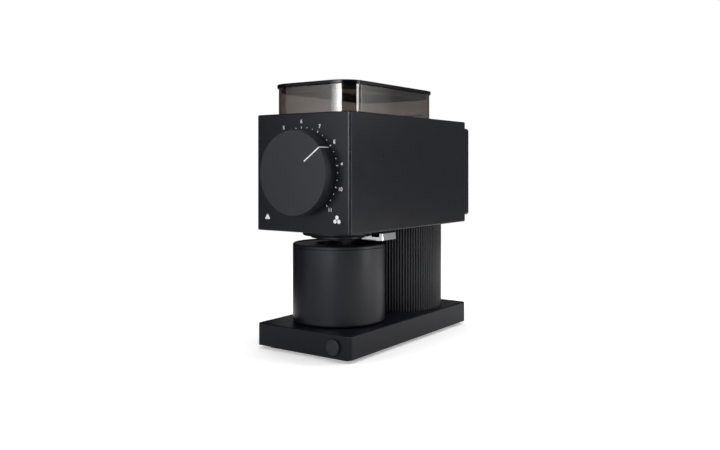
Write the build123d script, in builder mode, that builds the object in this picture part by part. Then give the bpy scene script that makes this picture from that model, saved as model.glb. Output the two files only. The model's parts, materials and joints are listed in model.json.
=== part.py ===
from build123d import *

import os
from math import cos, radians, sin

# A countertop coffee grinder with flat burrs. A box housing on a fluted column carries the burr
# chamber and the motor, a hopper stands in its top, and a cup stands under its chute on the base.
# Millimetres. +X to the right seen from the front, +Y to the back, +Z up. The origin is on the
# standing surface, under the middle of the overall width and length.

os.makedirs("parts", exist_ok=True)

# ---------------------------------------------------------------- driving dimensions
# Housing
housing_width = 105.0
housing_length = 207.0
housing_height = 104.5
housing_wall = 3.0
housing_corner = 2.5
housing_edge = 1.2
inner_corner = 2.0
rear_block = 16.0
rear_block_depth = 12.0
chute_hole_margin = 7.0

# Base, column and sole
sole_height = 3.0
sole_inset = 7.5
sole_corner = 3.0
sole_edge = 0.4
base_height = 20.0
base_width = 104.6
base_setback = 0.3
base_wall = 3.0
base_corner = 3.5
base_edge = 1.2
base_boss_radius = 4.0
base_boss_side = 11.0
base_boss_end = 40.0
plate_thickness = 1.6
column_height = 84.5
column_radius = 46.4
column_depth = 152.9
column_wall = 3.0
rib_radius = 1.25
rib_count = 104
port_radius = 4.3
port_engagement = 14.0
wire_hole_radius = 14.0

# Rear cover
cover_depth = 20.0
cover_inset = 6.0
cover_wall = 2.5
cover_corner = 3.0
cover_edge = 2.5
cover_screw_grip = 8.0
cover_flange = 2.5
cover_well_radius = 4.8
vent_count = 9
vent_length = 58.0
vent_width = 3.0
vent_pitch = 6.5

# Dial and its adjusting screw
dial_radius = 37.0
dial_depth = 13.0
dial_web = 2.5
dial_rim = 2.5
dial_gap = 0.4
dial_edge = 0.5
dial_hub_radius = 10.0
dial_shaft_radius = 5.0
dial_shaft_flat = 1.2
dial_rib_count = 8
dial_rib_depth = 3.0
dial_rib_width = 1.6
dial_rib_root = 0.5
pointer_angle = 36.0
setting_count = 31
setting_step = 9.0
rest_setting = 22
stop_tab_angle = 20.0
stop_inner_radius = 27.0
stop_outer_radius = 31.0
stop_height = 4.0
detent_radius = 22.5
detent_width = 5.0
detent_height = 2.0
detent_notch = 1.0
ball_radius = 1.5
ball_gap = 0.3
ball_lip = 0.4
ball_pocket_floor = 0.6
detent_wire = 0.2
detent_turns = 4
cap_radius = 34.7
cap_spigot = 3.0
cap_boss_radius = 9.0
cap_boss_height = 5.5
cap_screw_length = 9.0
screw_drum_radius = 20.0
screw_drum_length = 7.0
screw_drum_wall = 4.0
screw_drum_web = 2.5
screw_drum_edge = 1.0
shaft_edge = 0.5
stop_slack = 0.5
thread_pitch = 2.0

# Burr chamber and burrs
carrier_radius = 30.6
carrier_front = 7.2
carrier_length = 28.8
carrier_bore = 17.0
carrier_nut_length = 7.4
carrier_edge = 0.6
key_width = 4.0
key_height = 1.4
key_root = 1.0
key_setback = 4.0
window_margin = 0.5
burr_radius = 30.0
burr_thickness = 7.0
burr_bore = 17.0
fine_teeth = 36
fine_tooth_width = 2.8
fine_tooth_depth = 1.0
fine_band = 7.0
breaker_teeth = 9
breaker_depth = 2.4
breaker_width = 6.0
breaker_inset = 1.5
tooth_skew = 24.0
burr_screw_radius = 21.5
burr_screw_length = 13.0
burr_screw_seat = 1.8
finest_gap = 0.3
grounds_radius = 35.0
chamber_radius = 39.0
chamber_rear = 66.0
chamber_flange_front = 9.0
chamber_flange = 4.0
chamber_flange_side = 7.5
chamber_flange_top = 11.25
chamber_lug = 4.5
chamber_screw_grip = 5.0
rear_flange = 66.0
rear_flange_lug = 4.5
rear_flange_thickness = 6.0
inlet_width = 32.0
inlet_front = 15.0
inlet_rear = 35.0
inlet_drop = 16.25
inlet_seat_margin = 4.0
outlet_width = 28.0
outlet_length = 14.0
outlet_lip = 2.0
outlet_wall = 3.5
outlet_root = 4.0
rotor_radius = 32.0
rotor_disc = 4.2
hub_gap = 0.5
hub_step = 1.5
hub_shoulder = 1.0
paddle_radius = 34.5
paddle_width = 4.0
paddle_count = 3
paddle_setback = 9.0
auger_radius = 15.8
auger_hub_radius = 7.5
auger_pitch = 18.0
auger_flight = 2.0
auger_front = 16.5
auger_length = 27.0
auger_edge = 1.5
auger_screw_length = 10.0
flight_root = 1.0
flight_inset = 0.5
seal_thickness = 2.0
seal_radius = 8.0

# Bearings, shaft and motor
shaft_radius = 4.0
bearing_radius = 11.0
bearing_width = 7.0
motor_plate = 5.0
motor_radius = 31.0
motor_wall = 1.6
motor_length = 87.0
window_count = 4
window_length = 14.0
window_width = 8.0
magnet_thickness = 2.6
magnet_length = 52.0
magnet_angle = 130.0
air_gap = 0.6
core_length = 44.0
core_front = 88.0
slot_count = 12
slot_width = 4.0
slot_mouth = 1.6
winding_overhang = 7.0
winding_round = 1.0
winding_crown = 1.2
winding_lip = 0.5
wire_fit = 0.15
commutator_radius = 9.5
commutator_front = 142.0
commutator_length = 12.0
commutator_groove = 1.5
commutator_gap = 0.6
brush_width = 6.0
brush_thickness = 5.0
brush_length = 12.0
brush_wall = 1.2
holder_setback = 2.5
holder_end_gap = 0.6
bell_thickness = 8.0
bell_spigot = 3.0
bell_spigot_wall = 2.5
bell_rim = 2.0
bell_edge = 1.0
bell_plate = 3.0
bell_inner_step = 0.5
bell_boss_wall = 3.0
bell_slot_count = 6
bell_slot_length = 8.0
bell_slot_width = 4.5
fan_radius = 26.0
fan_front = 171.0
fan_length = 10.0
fan_disc = 1.5
blade_count = 11
blade_sweep = 30.0
blade_bow = 2.2
blade_thickness = 1.3
blade_inset = 1.0
blade_tip_gap = 0.3
shaft_end = 183.0
saddle_front = 112.0
saddle_length = 24.0
saddle_width = 46.0
saddle_foot = 3.0
saddle_corner = 3.0
saddle_ledge = 10.0
saddle_screw_inset = 4.0

# Hopper and lid
hopper_front = 7.6
lid_margin = 6.25
lid_length = 152.2
lid_thickness = 3.4
lid_corner = 21.0
lid_edge = 0.8
hopper_rise = 28.0
hopper_overhang = 1.4
hopper_wall = 2.0
hopper_flange = 2.2
funnel_wall = 1.8
funnel_rear_rise = 12.0
funnel_rim_rise = 1.0
funnel_lap = 1.0
throat_wall = 2.0
throat_rise = 4.0
throat_shoulder = 3.0
throat_corner = 2.0
spigot_depth = 3.0
gasket_thickness = 1.2
gasket_margin = 2.5
gasket_lap = 0.1
gasket_corner = 2.0
lid_rib = 2.0
lid_rib_height = 4.6
seal_height = 2.4
seal_rise = 0.6
lid_seat_gap = 0.2

# Cup, chute and knocker
cup_depth = 54.7
cup_radius = 42.9
cup_wall = 1.4
cup_floor = 1.6
cup_edge = 2.5
cup_top = 91.6
cup_lid_rim = 3.0
cup_lid_plug = 6.5
cup_lid_hole = 21.0
cup_lid_wall = 1.6
cup_lid_taper = 0.5
cup_lid_seam = 0.3
cup_lid_edge = 0.8
cup_lid_bead = 1.4
cup_lid_web = 0.6
cup_lid_lip = 1.5
cup_lid_lip_top = 0.3
cup_lid_lip_drop = 2.0
cup_disc_radius = 34.0
cup_disc_thickness = 1.1
collar_radius = 34.0
collar_height = 5.4
collar_chamfer = 1.6
collar_skirt_radius = 26.0
collar_skirt_height = 2.3
collar_screw_inset = 5.0
spout_radius = 12.0
spout_bottom = 97.5
chute_wall = 1.8
chute_flange = 2.0
chute_corner = 2.0
spout_neck = 0.5
knocker_bottom = 98.7
knocker_plate = 3.0
knocker_reach = 47.5
knocker_inner = 26.4
knocker_notch = 1.9
knocker_notch_front = 0.5
knocker_front = -1.1
knocker_rear = 24.4
knocker_corner = 5.0
knocker_rear_corner = 1.0
knocker_lip = 4.0
knocker_lip_height = 6.1
knocker_lip_corner = 0.9
knocker_lip_front = 2.5
knocker_lip_rear = 0.5
knocker_arm = 5.0
knocker_shank = 33.0
knocker_shank_width = 4.0
knocker_offset = 2.0
knocker_swing = 2.4
knocker_pivot_x = 21.0
knocker_pivot_rise = 5.1
knocker_hub = 2.8
knocker_hub_front = 1.5
knocker_hub_rear = 3.2
knocker_hub_length = 5.0
knocker_heel = 6.2
knocker_heel_bottom = 4.0
knocker_heel_top = 1.5
knocker_heel_slope = 0.5
knocker_heel_crown = 2.4
knocker_arm_bottom = 0.6
knocker_arm_top = 4.4
knocker_shank_root = 1.0
knocker_pin_radius = 1.5
knocker_pin_head = 0.8
knocker_spring_x = 28.5
knocker_coil = 2.0
knocker_wire = 0.3
knocker_turns = 4
ear_thickness = 2.5
ear_reach = 3.5
ear_height = 2.5
ear_foot = 1.0
ear_crest = 2.9
ear_root = 2.0
ear_root_height = 7.0
dock_magnet_radius = 5.0
dock_magnet_thickness = 3.0
magnet_recess = 1.5

# Start button, its switch and the inlet for the power cord
button_inset = 17.1
button_height = 12.4
button_radius = 6.7
button_proud = 2.5
button_edge = 0.6
button_flange = 7.3
button_flange_thickness = 1.2
button_stem = 2.5
button_stem_length = 4.0
button_travel = 1.5
button_coil = 4.6
button_wire = 0.35
button_turns = 4
plunger_radius = 2.0
plunger_reach = 0.8
switch_width = 13.0
switch_height = 10.5
switch_depth = 7.0
switch_corner = 0.8
terminal_spot = 3.5
terminal_width = 1.0
terminal_thickness = 0.8
terminal_length = 3.0
bracket_width = 14.0
bracket_depth = 12.0
bracket_height = 9.0
bracket_wall = 1.5
gland_bore = 3.5
gland_radius = 5.5
gland_lip = 1.5
gland_rim = 1.5
gland_edge = 0.5
gland_barb = 0.9
gland_nose = 2.5

# Control board
board_width = 56.0
board_length = 70.0
board_thickness = 1.6
board_corner = 2.0
board_hole_inset = 4.0
tall_part_height = 5.2
low_part_height = 3.5
standoff_height = 5.0
standoff_radius = 3.0

# Fits and clearances
running_clearance = 0.05
slide_clearance = 0.1
thread_clearance = 0.05
seat_clearance = 0.2
motion_clearance = 0.3
dock_gap = 0.1

# Screws, by shank radius
screw_tip_gap = 0.5
thread_run_out = 2.0
sink_angle = 90
m3 = 1.5
m4 = 2.0
small_screw = 1.25
cap_screw = 1.0

# ---------------------------------------------------------------- derived places
base_top = sole_height + base_height
housing_bottom = base_top + column_height
housing_floor = housing_bottom + housing_wall
housing_top = housing_bottom + housing_height
housing_roof = housing_top - housing_wall
axis_height = housing_bottom + housing_height / 2
overall_length = dial_depth + housing_length + cover_depth
front_face = dial_depth - overall_length / 2
housing_middle = front_face + housing_length / 2
inner_width = housing_width - 2 * housing_wall
inner_height = housing_height - 2 * housing_wall
base_length = housing_length - 2 * base_setback
base_front = front_face + base_setback
base_roof = base_top - base_wall
button_x = base_width / 2 - button_inset
plate_top = sole_height + plate_thickness
cup_y = front_face + cup_depth
column_y = front_face + column_depth
rest_turn = (rest_setting - 1) * setting_step
rest_gap = finest_gap + thread_pitch * rest_turn / 360
carrier_rear = carrier_front + carrier_length
outer_burr_face = carrier_rear + burr_thickness
inner_burr_face = outer_burr_face + rest_gap
rotor_front = inner_burr_face + burr_thickness
rotor_rear = rotor_front + rotor_disc
bearing_front = chamber_rear - bearing_width
seal_front = bearing_front - seal_thickness
motor_front = chamber_rear + motor_plate
motor_rear = motor_front + motor_length
lid_width = housing_width - 2 * lid_margin
lid_bottom = housing_top + hopper_rise - lid_thickness
hopper_width = lid_width - 2 * hopper_overhang
hopper_length = lid_length - 2 * hopper_overhang
hopper_corner = lid_corner - hopper_overhang
hopper_middle = front_face + hopper_front + lid_length / 2
inlet_middle = front_face + (inlet_front + inlet_rear) / 2
inlet_length = inlet_rear - inlet_front
inlet_face = housing_top - inlet_drop
outlet_face = axis_height - chamber_radius - outlet_lip
outlet_height = axis_height - outlet_face
chamber_flange_width = housing_width - 2 * chamber_flange_side
chamber_flange_height = housing_height - 2 * chamber_flange_top
outlet_rear = seal_front
outlet_middle = outlet_rear - outlet_length / 2
pivot_height = housing_floor + knocker_pivot_rise

drive_axis = Axis((0, front_face, axis_height), (0, 1, 0))
drive_side = Plane(origin=(0, front_face, axis_height), x_dir=(0, 1, 0), z_dir=(1, 0, 0))


def station(depth):
    """Plane across the drive axis, depth behind the housing's front face, facing the front."""
    return Plane(origin=(0, front_face + depth, axis_height), x_dir=(1, 0, 0), z_dir=(0, -1, 0))


def ring_spots(radius, angles):
    """Points on a circle at the given angles in degrees."""
    return [(radius * cos(radians(a)), radius * sin(radians(a))) for a in angles]


def turned(profile, side=drive_side, axis=drive_axis):
    """Solid of revolution from a closed profile of (along the axis, radius) points."""
    with BuildPart() as piece:
        with BuildSketch(side):
            with BuildLine():
                Polyline(*profile, close=True)
            make_face()
        revolve(axis=axis)
    return piece


def cap_screws(seat, spots, shank_radius, shank_length):
    """Socket head screws: heads stand on the seat plane, shanks go down through it."""
    head_radius = 1.8 * shank_radius
    tall = 1.6 * shank_radius
    with BuildPart() as screws:
        with BuildSketch(seat):
            with Locations(*spots):
                Circle(head_radius)
        extrude(amount=tall)
        with BuildSketch(seat):
            with Locations(*spots):
                Circle(shank_radius - thread_clearance)
        extrude(amount=-shank_length)
        with BuildSketch(seat.offset(tall)):
            with Locations(*spots):
                RegularPolygon(shank_radius, 6)
        extrude(amount=-tall / 2, mode=Mode.SUBTRACT)
    return screws


def sunk_screws(face, spots, shank_radius, shank_length):
    """Countersunk screws: heads are flush with the face plane, shanks go down from it."""
    head_radius = 2 * shank_radius
    with BuildPart() as screws:
        with BuildSketch(face):
            with Locations(*spots):
                Circle(shank_radius - thread_clearance)
        extrude(amount=-shank_length)
        for spot in spots:
            with BuildSketch(face):
                with Locations(spot):
                    Circle(head_radius)
            with BuildSketch(face.offset(-shank_radius)):
                with Locations(spot):
                    Circle(shank_radius - thread_clearance)
            loft()
        with BuildSketch(face):
            with Locations(*spots):
                RegularPolygon(0.8 * shank_radius, 6)
        extrude(amount=-0.7 * shank_radius, mode=Mode.SUBTRACT)
    return screws


def ball_bearing(front):
    """Shielded ball bearing on the drive shaft, its front face at the given depth."""
    bore = shaft_radius + running_clearance
    race = 0.22 * (bearing_radius - bore)
    shield = 0.5
    rear = front + bearing_width
    return turned(
        [
            (front, bore),
            (front, bore + race),
            (front + shield, bore + race),
            (front + shield, bearing_radius - race),
            (front, bearing_radius - race),
            (front, bearing_radius),
            (rear, bearing_radius),
            (rear, bearing_radius - race),
            (rear - shield, bearing_radius - race),
            (rear - shield, bore + race),
            (rear, bore + race),
            (rear, bore),
        ]
    )


def flat_burr(face, back):
    """Ring burr with skewed fine teeth outside and deep breaker teeth on its inner cone.

    face is the depth of the tooth crests and back that of the seat.
    """
    inward = 1 if back > face else -1
    land = burr_radius - fine_band
    cone_depth = 0.55 * burr_thickness
    ring = turned(
        [
            (back, burr_bore),
            (back, burr_radius),
            (face, burr_radius),
            (face, land),
            (face + inward * cone_depth, burr_bore),
        ]
    )
    # A fine groove is a long wedge that crosses the outer band at a skew.
    skew = radians(tooth_skew)
    start = Vector(land, 0, 0)
    along = Vector(cos(skew), 0, sin(skew))
    outer_middle = Vector(0, front_face + face, axis_height) + start
    wedge_plane = Plane(origin=outer_middle - along, x_dir=(0, inward, 0), z_dir=along)
    with BuildPart() as fine_groove:
        with BuildSketch(wedge_plane):
            with BuildLine():
                Polyline(
                    (-fine_tooth_depth, -fine_tooth_width),
                    (fine_tooth_depth, 0),
                    (-fine_tooth_depth, fine_tooth_width),
                    close=True,
                )
            make_face()
        extrude(amount=2 * fine_band)
    # A breaker groove follows the cone down to the bore.
    slope = Vector(burr_bore - land, inward * cone_depth, 0).normalized()
    lean = Vector(slope.Y, -slope.X, 0)
    breaker_start = Vector(land + breaker_inset, front_face + face, axis_height)
    breaker_plane = Plane(origin=breaker_start, x_dir=lean * inward, z_dir=slope)
    with BuildPart() as breaker_groove:
        with BuildSketch(breaker_plane):
            with BuildLine():
                Polyline(
                    (-2 * breaker_depth, -breaker_width),
                    (breaker_depth, 0),
                    (-2 * breaker_depth, breaker_width / 4),
                    close=True,
                )
            make_face()
        extrude(amount=2 * (land - burr_bore))
    with BuildPart() as burr:
        add(ring.part)
        for turn in range(fine_teeth):
            add(fine_groove.part.rotate(drive_axis, 360 / fine_teeth * turn), mode=Mode.SUBTRACT)
        for turn in range(breaker_teeth):
            angle = 360 / breaker_teeth * turn
            add(breaker_groove.part.rotate(drive_axis, angle), mode=Mode.SUBTRACT)
    return burr


pieces = {}

# ---------------------------------------------------------------- base
boss_x = base_width / 2 - base_boss_side
boss_y = base_length / 2 - base_boss_end
base_boss_spots = [(boss_x, boss_y), (-boss_x, boss_y), (-boss_x, -boss_y), (boss_x, -boss_y)]
port_circle = column_radius - 2 * rib_radius - column_wall - port_radius / 2
port_spots = ring_spots(port_circle, (45, 135, 225, 315))
magnet_spots = ring_spots(cup_disc_radius - dock_magnet_radius, (90, 210, 330))
base_plane = Plane((0, housing_middle, sole_height))
base_under = Plane(origin=base_plane.origin, x_dir=(1, 0, 0), z_dir=(0, 0, -1))
column_plane = Plane((0, column_y, base_top))
cup_plane = Plane((0, cup_y, base_top))
button_plane = Plane(origin=(button_x, base_front, button_height), x_dir=(1, 0, 0), z_dir=(0, -1, 0))
button_side = Plane(origin=(button_x, base_front, button_height), x_dir=(0, 1, 0), z_dir=(1, 0, 0))
button_axis = Axis((button_x, base_front, button_height), (0, 1, 0))
board_plane = Plane((0, column_y, plate_top))
standoff_x = board_width / 2 - board_hole_inset
standoff_y = board_length / 2 - board_hole_inset
board_spots = [(x * standoff_x, y * standoff_y) for x in (-1, 1) for y in (-1, 1)]
gland_height = (base_roof + plate_top) / 2
gland_plane = Plane(
    origin=(0, base_front + base_length, gland_height), x_dir=(-1, 0, 0), z_dir=(0, 1, 0)
)

with BuildPart() as base_body:
    with BuildSketch(base_plane):
        RectangleRounded(base_width, base_length, base_corner)
    extrude(amount=base_height)
    fillet(base_body.faces().sort_by(Axis.Z)[-1].edges(), base_edge)
    with BuildSketch(base_plane):
        RectangleRounded(base_width - 2 * base_wall, base_length - 2 * base_wall, inner_corner)
    extrude(amount=base_height - base_wall, mode=Mode.SUBTRACT)
    with BuildSketch(Plane((0, housing_middle, plate_top))):
        with Locations(*base_boss_spots):
            Circle(base_boss_radius)
    extrude(amount=base_roof - plate_top)
    with BuildSketch(Plane((0, housing_middle, plate_top))):
        with Locations(*base_boss_spots):
            Circle(m3)
    extrude(amount=0.7 * base_height, mode=Mode.SUBTRACT)
    with BuildSketch(column_plane):
        Circle(wire_hole_radius)
        with Locations(*port_spots):
            Circle(m4 + seat_clearance)
    extrude(amount=-base_wall, mode=Mode.SUBTRACT)
    with BuildSketch(cup_plane.offset(-base_wall)):
        with Locations(*magnet_spots):
            Circle(dock_magnet_radius + seat_clearance)
    extrude(amount=magnet_recess, mode=Mode.SUBTRACT)
    with BuildSketch(button_plane):
        Circle(button_radius + slide_clearance)
    extrude(amount=-base_wall, mode=Mode.SUBTRACT)
    with BuildSketch(gland_plane):
        Circle(gland_radius)
    extrude(amount=-base_wall, mode=Mode.SUBTRACT)
pieces["base_body"] = base_body

with BuildPart() as base_bottom_plate:
    with BuildSketch(base_plane):
        RectangleRounded(
            base_width - 2 * base_wall - 2 * seat_clearance,
            base_length - 2 * base_wall - 2 * seat_clearance,
            inner_corner,
        )
    extrude(amount=plate_thickness)
    with BuildSketch(board_plane):
        with Locations(*board_spots):
            RegularPolygon(standoff_radius, 6)
            Circle(small_screw, mode=Mode.SUBTRACT)
    extrude(amount=standoff_height)
    with Locations(base_under):
        with Locations(*base_boss_spots):
            CounterSinkHole(
                m3 + seat_clearance, 2 * m3 + seat_clearance, plate_thickness, sink_angle
            )
pieces["base_bottom_plate"] = base_bottom_plate
pieces["bottom_screws"] = sunk_screws(base_under, base_boss_spots, m3, 0.5 * base_height)

with BuildPart() as rubber_sole:
    with BuildSketch(Plane((0, housing_middle, 0))):
        RectangleRounded(base_width - 2 * sole_inset, base_length - 2 * sole_inset, sole_corner)
    extrude(amount=sole_height)
    fillet(rubber_sole.faces().sort_by(Axis.Z)[0].edges(), sole_edge)
pieces["rubber_sole"] = rubber_sole

with BuildPart() as dock_magnets:
    with BuildSketch(cup_plane.offset(magnet_recess - base_wall)):
        with Locations(*magnet_spots):
            Circle(dock_magnet_radius)
    extrude(amount=-dock_magnet_thickness)
pieces["dock_magnets"] = dock_magnets

# The start button slides in the base's front wall; its flange keeps it in from behind.
flange_front = base_wall + motion_clearance
flange_rear = flange_front + button_flange_thickness
stem_end = flange_rear + button_stem_length
plunger_front = stem_end + button_travel + motion_clearance
switch_front = plunger_front + plunger_reach
switch_rear = switch_front + switch_depth
start_button = turned(
    [
        (-button_proud, 0),
        (-button_proud, button_radius - button_edge),
        (button_edge - button_proud, button_radius),
        (flange_front, button_radius),
        (flange_front, button_flange),
        (flange_rear, button_flange),
        (flange_rear, button_stem),
        (stem_end, button_stem),
        (stem_end, 0),
    ],
    button_side,
    button_axis,
)
pieces["start_button"] = start_button

button_spring_length = switch_front - flange_rear - 2 * button_wire - 2 * slide_clearance
with BuildPart() as button_spring:
    with BuildLine():
        coil = Helix(
            button_spring_length / button_turns,
            button_spring_length,
            button_coil,
            center=button_plane.offset(-flange_rear - button_wire - slide_clearance).origin,
            direction=(0, 1, 0),
        )
    with BuildSketch(Plane(origin=coil @ 0, z_dir=coil % 0)):
        RegularPolygon(button_wire, 6)
    sweep(is_frenet=True)
pieces["button_spring"] = button_spring

bracket_side = Plane(
    origin=(button_x - bracket_width / 2, base_front + switch_rear, plate_top),
    x_dir=(0, 1, 0),
    z_dir=(1, 0, 0),
)
with BuildPart() as start_switch:
    with BuildSketch(button_plane.offset(-switch_rear)):
        RectangleRounded(switch_width, switch_height, switch_corner)
    extrude(amount=switch_rear - switch_front)
    with BuildSketch(button_plane.offset(-switch_front)):
        Circle(plunger_radius)
    extrude(amount=switch_front - plunger_front)
    with BuildSketch(button_plane.offset(-switch_rear)):
        with Locations((-terminal_spot, terminal_spot), (terminal_spot, terminal_spot)):
            Rectangle(terminal_width, terminal_thickness)
    extrude(amount=-terminal_length)
    # Moulded foot that stands on the bottom plate.
    with BuildSketch(bracket_side):
        with BuildLine():
            Polyline(
                (0, 0),
                (bracket_depth, 0),
                (bracket_depth, bracket_wall),
                (bracket_wall, bracket_wall),
                (bracket_wall, bracket_height),
                (0, bracket_height),
                close=True,
            )
        make_face()
    extrude(amount=bracket_width)
    with BuildSketch(bracket_side):
        with BuildLine():
            Polyline((0, 0), (bracket_depth, 0), (0, bracket_height), close=True)
        make_face()
    extrude(amount=bracket_wall)
pieces["start_switch"] = start_switch

# The gland is a grooved bush that snaps into the base's rear wall and grips the power cord.
gland_side = Plane(origin=gland_plane.origin, x_dir=(0, 1, 0), z_dir=(1, 0, 0))
gland_axis = Axis(gland_plane.origin, (0, 1, 0))
gland_inner = -base_wall - seat_clearance
cord_gland = turned(
    [
        (gland_lip, gland_bore),
        (gland_lip, gland_radius - gland_edge),
        (0, gland_radius + gland_rim),
        (0, gland_radius - slide_clearance),
        (gland_inner, gland_radius - slide_clearance),
        (gland_inner, gland_radius + gland_barb),
        (gland_inner - gland_nose, gland_radius - gland_edge),
        (gland_inner - gland_nose, gland_bore),
    ],
    gland_side,
    gland_axis,
)
pieces["cord_gland"] = cord_gland

with BuildPart() as control_board:
    with BuildSketch(board_plane.offset(standoff_height)):
        RectangleRounded(board_width, board_length, board_corner)
        with Locations(*board_spots):
            Circle(small_screw + seat_clearance, mode=Mode.SUBTRACT)
    extrude(amount=board_thickness)
    board_face = board_plane.offset(standoff_height + board_thickness)
    # A filter coil, two relays, two capacitors and the controller.
    with BuildSketch(board_face):
        with Locations((0, 0.29 * board_length)):
            Rectangle(0.29 * board_width, 0.2 * board_length)
        with Locations(
            (-0.16 * board_width, -0.31 * board_length), (0.16 * board_width, -0.31 * board_length)
        ):
            Rectangle(0.2 * board_width, 0.13 * board_length)
    extrude(amount=tall_part_height)
    with BuildSketch(board_face):
        with Locations(
            (-0.11 * board_width, 0.03 * board_length), (0.11 * board_width, 0.03 * board_length)
        ):
            Circle(0.07 * board_width)
        with Locations((0, -0.11 * board_length)):
            Rectangle(0.14 * board_width, 0.14 * board_width)
    extrude(amount=low_part_height)
pieces["control_board"] = control_board

# ---------------------------------------------------------------- column
# An extruded sleeve: half-round ribs outside, screw ports inside.
with BuildPart() as column_sleeve:
    with BuildSketch(column_plane):
        Circle(column_radius - rib_radius)
        with PolarLocations(column_radius - rib_radius, rib_count):
            Circle(rib_radius)
        Circle(column_radius - 2 * rib_radius - column_wall + rib_radius, mode=Mode.SUBTRACT)
        with Locations(*port_spots):
            Circle(port_radius)
        with Locations(*port_spots):
            Circle(m4, mode=Mode.SUBTRACT)
    extrude(amount=column_height)
pieces["column_sleeve"] = column_sleeve
lower_screw_seat = Plane(origin=(0, column_y, base_roof), x_dir=(1, 0, 0), z_dir=(0, 0, -1))
lower_screws = cap_screws(lower_screw_seat, port_spots, m4, base_wall + port_engagement)
upper_screw_seat = Plane((0, column_y, housing_floor))
upper_screws = cap_screws(upper_screw_seat, port_spots, m4, housing_wall + port_engagement)
with BuildPart() as column_screws:
    add(lower_screws.part)
    add(upper_screws.part)
pieces["column_screws"] = column_screws

# ---------------------------------------------------------------- housing
front_boss_x = chamber_flange_width / 2 - chamber_lug
front_boss_z = chamber_flange_height / 2 - chamber_lug
front_boss_spots = [(x * front_boss_x, z * front_boss_z) for x in (-1, 1) for z in (-1, 1)]
cover_boss_x = housing_width / 2 - housing_wall - rear_block / 2
cover_boss_z = housing_height / 2 - housing_wall - rear_block / 2
cover_boss_spots = [(x * cover_boss_x, z * cover_boss_z) for x in (-1, 1) for z in (-1, 1)]
collar_screw_spots = ring_spots(collar_radius - collar_screw_inset, (90, 180, 270))
saddle_screw_x = saddle_width / 2 - saddle_screw_inset
saddle_screw_spots = [(-saddle_screw_x, 0), (saddle_screw_x, 0)]
saddle_plane = Plane((0, front_face + saddle_front + saddle_length / 2, housing_floor))
shank_slot_inner = knocker_shank - knocker_swing
shank_slot_outer = knocker_shank + knocker_shank_width + knocker_swing
shank_slot_width = knocker_arm + 4 * slide_clearance + 2 * motion_clearance
with BuildPart() as housing_shell:
    with BuildSketch(Plane((0, housing_middle, housing_bottom))):
        Rectangle(housing_width, housing_length)
    extrude(amount=housing_height)
    fillet(housing_shell.edges().filter_by(Axis.Z), housing_corner)
    top_and_bottom = housing_shell.faces().filter_by(Axis.Z)
    fillet(top_and_bottom.edges(), housing_edge)
    with BuildSketch(station(housing_length)):
        RectangleRounded(inner_width, inner_height, inner_corner)
    extrude(amount=housing_length - housing_wall, mode=Mode.SUBTRACT)
    # Bosses behind the front wall carry the burr chamber, corner blocks carry the rear cover.
    with BuildSketch(station(chamber_flange_front)):
        with Locations(*front_boss_spots):
            Circle(chamber_lug)
    extrude(amount=chamber_flange_front - housing_wall)
    with BuildSketch(station(housing_length - cover_flange)):
        with Locations(*cover_boss_spots):
            Rectangle(rear_block, rear_block)
    extrude(amount=rear_block_depth)
    with BuildSketch(station(chamber_flange_front)):
        with Locations(*front_boss_spots):
            Circle(m3)
    extrude(amount=chamber_flange_front - housing_wall, mode=Mode.SUBTRACT)
    with BuildSketch(station(housing_length - cover_flange)):
        with Locations(*cover_boss_spots):
            Circle(m3)
    extrude(amount=rear_block_depth, mode=Mode.SUBTRACT)
    # Service opening behind the dial.
    with BuildSketch(station(housing_wall)):
        Circle(cap_radius + seat_clearance)
    extrude(amount=housing_wall, mode=Mode.SUBTRACT)
    # Opening for the hopper in the top.
    with BuildSketch(Plane((0, hopper_middle, housing_roof))):
        RectangleRounded(
            hopper_width + 2 * seat_clearance,
            hopper_length + 2 * seat_clearance,
            hopper_corner + seat_clearance,
        )
    extrude(amount=housing_wall, mode=Mode.SUBTRACT)
    # Chute hole, collar screws, knocker slot, wire hole and column screws in the floor.
    with BuildSketch(Plane((0, cup_y, housing_bottom))):
        Circle(spout_radius + chute_hole_margin)
        with Locations(*collar_screw_spots):
            Circle(small_screw)
        with Locations(((shank_slot_inner + shank_slot_outer) / 2, knocker_offset)):
            Rectangle(shank_slot_outer - shank_slot_inner, shank_slot_width)
    extrude(amount=housing_wall, mode=Mode.SUBTRACT)
    with BuildSketch(Plane((0, column_y, housing_bottom))):
        Circle(wire_hole_radius)
        with Locations(*port_spots):
            Circle(m4 + seat_clearance)
    extrude(amount=housing_wall, mode=Mode.SUBTRACT)
    with BuildSketch(saddle_plane):
        with Locations(*saddle_screw_spots):
            Circle(m3)
    extrude(amount=-housing_wall, mode=Mode.SUBTRACT)
pieces["housing_shell"] = housing_shell

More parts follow.
